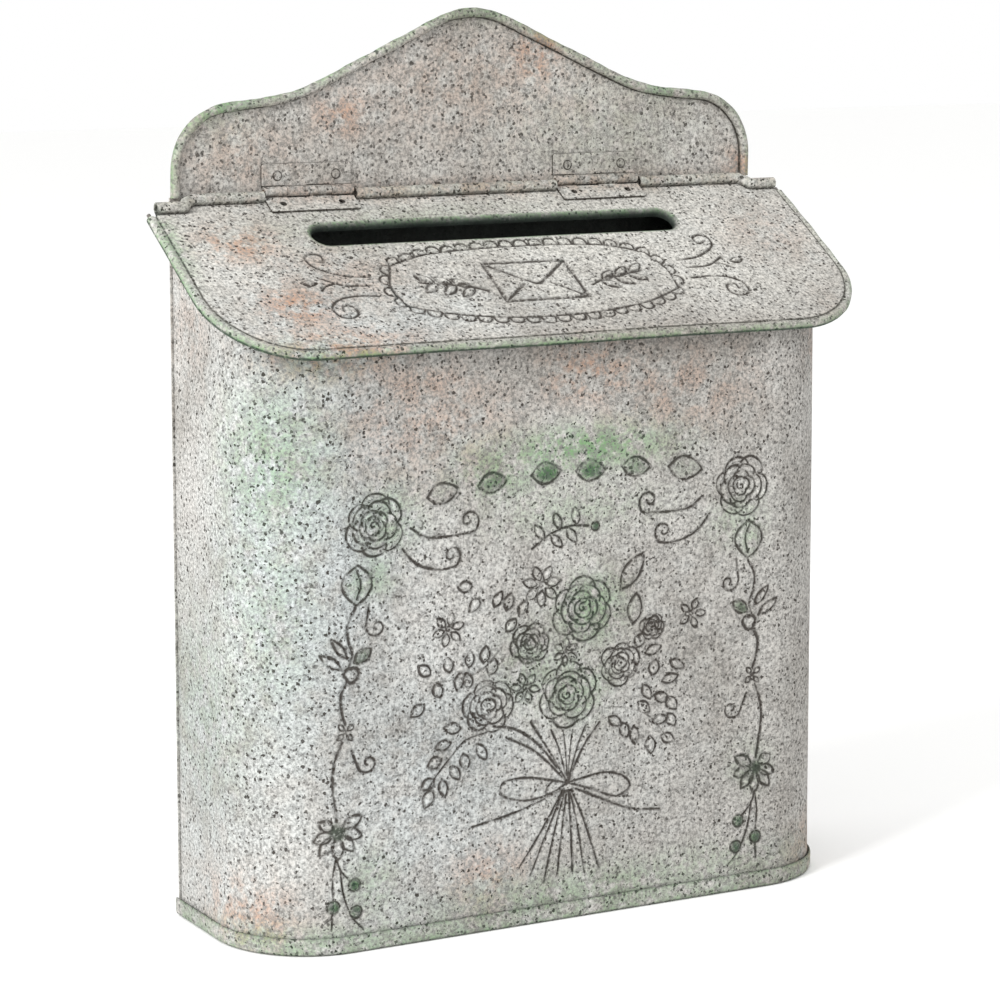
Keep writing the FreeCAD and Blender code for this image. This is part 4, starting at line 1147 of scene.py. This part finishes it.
def lid_sheet():
    flat_half = LID_HALF + HEM - HEM_INSIDE
    front = LID_LENGTH + HEM - HEM_INSIDE
    corner = LID_CORNER + HEM - HEM_INSIDE
    rear_end = CURL_ROOT + CURL_STEP
    hem = rounded_line([(flat_half, rear_end, 0), (flat_half, front, corner), (-flat_half, front, corner),
                        (-flat_half, rear_end, 0)], 1.6)

    def rear(start, stop):
        x = np.linspace(start, stop, max(int(abs(stop - start) / 1.6), 3))
        return np.stack([x, CURL_ROOT + curl_step(x)], axis=-1)

    beside = HINGE_HALF + 0.8
    stops = [-flat_half, HINGE_MIDDLES[0] - beside, HINGE_MIDDLES[0] + beside, HINGE_MIDDLES[1] - beside,
             HINGE_MIDDLES[1] + beside, flat_half]
    sections = [(hem, under_hem)]
    for index, (start, stop) in enumerate(zip(stops, stops[1:])):
        sections.append((rear(start, stop), rear_flap if index % 2 else rear_curl))
    half, rise, setback = SLOT
    half, rise = half + LIP_BEND, rise + LIP_BEND
    round_end = rise - 0.01
    slot = rounded_line([(-half, setback - rise, round_end), (-half, setback + rise, round_end),
                         (half, setback + rise, round_end), (half, setback - rise, round_end)], 1.4,
                        closed=True)
    spacing, back, radius = LEAF_HOLE
    holes = [(slot, slot_lip)]
    for middle in HINGE_MIDDLES:
        for side in (-1, 1):
            holes.append((round_hole(middle + side * spacing, back, radius, 16), shaded_edge(SHEET)))
    pressing = press_lid()
    grid = even_grid(np.arange(-137.6, 138, PITCH), np.arange(6.2, 95, PITCH))
    inner = np.vstack([grid[pressing.beyond(grid)], pressing.lattice()])

    def calm(flat):
        """Where the sheet may be uneven: away from the hinges."""
        return np.clip((flat[:, 1] - 8) / 20, 0, 1)

    return sheet_piece("lid_sheet", lid_point, sections, SHEET, inner, holes, pressing, wave=(0.3, 60, 21),
                       wave_mask=calm)


# The lid's copy of the paint is lighter than the box's: painted light on the lid's upward-facing top.
lid_paint_painted_light = chalky_paint("chalk_paint_lid_painted_light", "#b0aea8", "#999690")
dress(lid_sheet(), "lid", "painted_sheet", lid_paint_painted_light, "lid_panel")


# ---- hinges ------------------------------------------------------------------------------------------
# Two pressed steel butt hinges, 38 mm long. Each leaf is a 1 mm plate whose tabs are rolled round a wire
# pin. The back leaves are riveted to the panel, and the lid leaves welded to the lid with their holes open.
# They are painted over with the box, so only their edges and the gaps between the knuckles show, darkened
# with painted shade.

LEAF = 1.0
LEAF_LENGTH = 10.5
KNUCKLE = 2.0
KNUCKLE_PLAY = 0.3
PIN = 1.0
PIN_RISE = KNUCKLE + KNUCKLE_PLAY - LEAF     # the pin's middle over the leaf's face
PLATE_START = KNUCKLE + KNUCKLE_PLAY


def rolled_knuckle(place):
    """A tab rolled round the pin, from the leaf's face over the pin and back under to its rear face."""
    rows = [(PLATE_START - 1.85, 0.12, 0.75, 0)]
    for angle in np.radians((-8, 20, 50, 80, 110, 140, 170, 200, 230, 260)):
        out, rise = KNUCKLE * math.cos(angle), KNUCKLE * math.sin(angle)
        rows.append((PLATE_START - out, PIN_RISE + rise, 0.5 if angle < 0.2 else 0.1, 0))
    return rows + [(PLATE_START - 0.9, -LEAF, 0.3, 0)]


def leaf_piece(name, middle, knuckles, point):
    """One leaf: a plate with rounded outer corners, two holes and its knuckles along the pin."""
    left, right = middle - HINGE_HALF, middle + HINGE_HALF
    pitch = 2 * HINGE_HALF / 4
    places = [left]
    for number in knuckles:
        places += [left + number * pitch + KNUCKLE_PLAY / 2, left + (number + 1) * pitch - KNUCKLE_PLAY / 2]
    places.append(right)
    edge = shaded_edge(LEAF)
    sections = []
    for index, (start, stop) in enumerate(zip(places, places[1:])):
        line = rounded_line([(start, PLATE_START, 0), (stop, PLATE_START, 0)], 1.2)
        sections.append((line, rolled_knuckle if index % 2 else edge))
    sections.append((rounded_line([(right, PLATE_START, 0), (right, LEAF_LENGTH, 0.8),
                                   (left, LEAF_LENGTH, 0.8), (left, PLATE_START, 0)], 1.2), edge))
    spacing, setback, radius = LEAF_HOLE
    holes = [(round_hole(middle + side * spacing, setback, radius, 16), edge) for side in (-1, 1)]
    grid = even_grid(np.arange(left + 1.2, right, 1.6), np.arange(3.6, 10, 1.6))
    # The leaf's rear face is half darkened by the base coat: painted shade between leaf and sheet.
    return sheet_piece(name, point, sections, LEAF, grid, holes, wave=(0.0, 20, 1), inside=(0.0, 0.5))


def turned(profile, place, direction):
    """A turned solid: (along, radius) rows from one end to the other, round an axis through a place."""
    axis = Vector(direction).normalized()
    side = axis.orthogonal().normalized()
    other = axis.cross(side)
    count = 20
    places, faces = [], []
    for along, radius in profile:
        for step in range(count):
            angle = 2 * math.pi * step / count
            out = side * math.cos(angle) + other * math.sin(angle)
            places.append(tuple((Vector(place) + axis * along + out * radius) * MM))
    for row in range(len(profile) - 1):
        for step in range(count):
            here, after = row * count + step, row * count + (step + 1) % count
            faces.append((here, after, after + count, here + count))
    faces.append(tuple(range(count))[::-1])
    faces.append(tuple((len(profile) - 1) * count + step for step in range(count)))
    return places, faces


def back_leaf_point(x, up, lift):
    return row_points(x, -SHEET - LEAF - lift, AXIS_Z + up)


def lid_leaf_point(x, down, lift):
    return lid_point(x, down, LEAF + lift)


pin_steel = drawn_wire("drawn_steel_pin", "#5f5a54", 0.5)
for side, middle in zip(("left", "right"), HINGE_MIDDLES):
    leaf = leaf_piece(f"{side}_hinge_back_plate", middle, (1, 3), back_leaf_point)
    dress(leaf, "root", "painted_hinge", panel_paint, f"{side}_hinge_back_leaf")
    leaf = leaf_piece(f"{side}_hinge_lid_plate", middle, (0, 2), lid_leaf_point)
    dress(leaf, "lid", "painted_hinge", lid_paint_painted_light, f"{side}_hinge_lid_leaf")
    end = HINGE_HALF + 0.5
    profile = [(-end, 0.45), (-end + 0.12, 0.8), (-end + 0.4, PIN)]
    profile += [(along, PIN) for along in np.linspace(-HINGE_HALF, HINGE_HALF, 9)]
    profile += [(end - 0.4, PIN), (end - 0.12, 0.8), (end, 0.45)]
    places, faces = turned(profile, (middle, AXIS_Y, AXIS_Z), (1, 0, 0))
    pin = finish_mesh(f"{side}_hinge_wire_pin", places, faces, np.zeros(len(places)), np.zeros(len(places)))
    dress(pin, "root", "hinge_pin", pin_steel, f"{side}_hinge_pin")

rivet_places, rivet_faces, rivet_rim_shade = [], [], []
for middle in HINGE_MIDDLES:
    for side in (-1, 1):
        face = SHEET + LEAF
        profile = [(0.0, 1.1), (0.02, 1.3), (0.25, 1.33), (face, 1.33), (face + 0.02, 1.95),
                   (face + 0.12, 2.05), (face + 0.28, 1.9), (face + 0.4, 1.4), (face + 0.44, 0.8),
                   (face + 0.4, 0.3)]
        x = middle + side * LEAF_HOLE[0]
        places, faces = turned(profile, (x, 0.0, AXIS_Z + LEAF_HOLE[1]), (0, -1, 0))
        rivet_faces += [tuple(index + len(rivet_places) for index in one) for one in faces]
        rivet_places += places
        # The heads' rims are darkened to a ring: painted shade round each rivet head.
        rivet_rim_shade += [0.95 if radius > 1.85 else 0.15
                       for along, radius in profile for _ in range(20)]
rivets = finish_mesh("hinge_rivet_heads", rivet_places, rivet_faces, np.array(rivet_rim_shade),
                     np.zeros(len(rivet_places)))
dress(rivets, "root", "painted_hinge", panel_paint, "hinge_rivets")


# ---- floor, light and camera -------------------------------------------------------------------------
# A pale studio floor just under the box, a white room, a big soft lamp at the front left and a weaker one
# high in front. A long lens looks from the left and a little above.

def floor():
    floor_mesh = bpy.data.meshes.new("studio_floor")
    reach = 6.0
    height = FOOT * MM - 0.0002
    floor_mesh.from_pydata([(-reach, -reach, height), (reach, -reach, height), (reach, reach, height),
                            (-reach, reach, height)], [], [(0, 1, 2, 3)])
    sheet = bpy.data.objects.new("studio_floor", floor_mesh)
    bpy.context.scene.collection.objects.link(sheet)
    matt = bpy.data.materials.new("studio_paper")
    matt.use_nodes = True
    shader = matt.node_tree.nodes["Principled BSDF"]
    shader.inputs["Base Color"].default_value = linear("#fdfdfc")
    shader.inputs["Roughness"].default_value = 0.9
    floor_mesh.materials.append(matt)


def light():
    world = bpy.data.worlds.new("studio_room")
    world.use_nodes = True
    sky = world.node_tree.nodes["Background"]
    sky.inputs["Color"].default_value = linear("#ffffff")
    sky.inputs["Strength"].default_value = 1.0
    bpy.context.scene.world = world

    for name, place, size, power in (("key_softbox", (-1.9, -0.75, 1.0), 0.6, 40),
                                     ("fill_softbox", (-0.3, -2.0, 1.6), 1.2, 5)):
        lamp = bpy.data.lights.new(name, "AREA")
        lamp.size = size
        lamp.energy = power
        holder = bpy.data.objects.new(name, lamp)
        holder.location = place
        towards = Vector((0, -0.03, -0.07)) - Vector(place)
        holder.rotation_euler = towards.to_track_quat("-Z", "Y").to_euler()
        bpy.context.scene.collection.objects.link(holder)


def long_lens():
    camera = bpy.data.cameras.new("studio_camera")
    camera.sensor_width = 36
    camera.lens = 113.3
    camera.shift_x = 0.12
    camera.shift_y = -0.12
    camera.clip_start = 0.05
    turn, dip, tilt = (math.radians(angle) for angle in (27.05, 7.3, -0.35))
    forward = Vector((math.sin(turn) * math.cos(dip), math.cos(turn) * math.cos(dip), -math.sin(dip)))
    right = Vector((math.cos(turn), -math.sin(turn), 0))
    up = right.cross(forward)
    right, up = right * math.cos(tilt) + up * math.sin(tilt), up * math.cos(tilt) - right * math.sin(tilt)
    aim = Vector((-66.3, -50.0, 211.1 + FOOT)) * MM
    distance = 1.1837
    holder = bpy.data.objects.new("studio_camera", camera)
    place = aim - forward * distance
    holder.matrix_world = Matrix((
        (right.x, up.x, -forward.x, place.x),
        (right.y, up.y, -forward.y, place.y),
        (right.z, up.z, -forward.z, place.z),
        (0, 0, 0, 1)))
    bpy.context.scene.collection.objects.link(holder)
    bpy.context.scene.camera = holder
    bpy.context.scene.view_settings.view_transform = "Standard"


floor()
light()
long_lens()
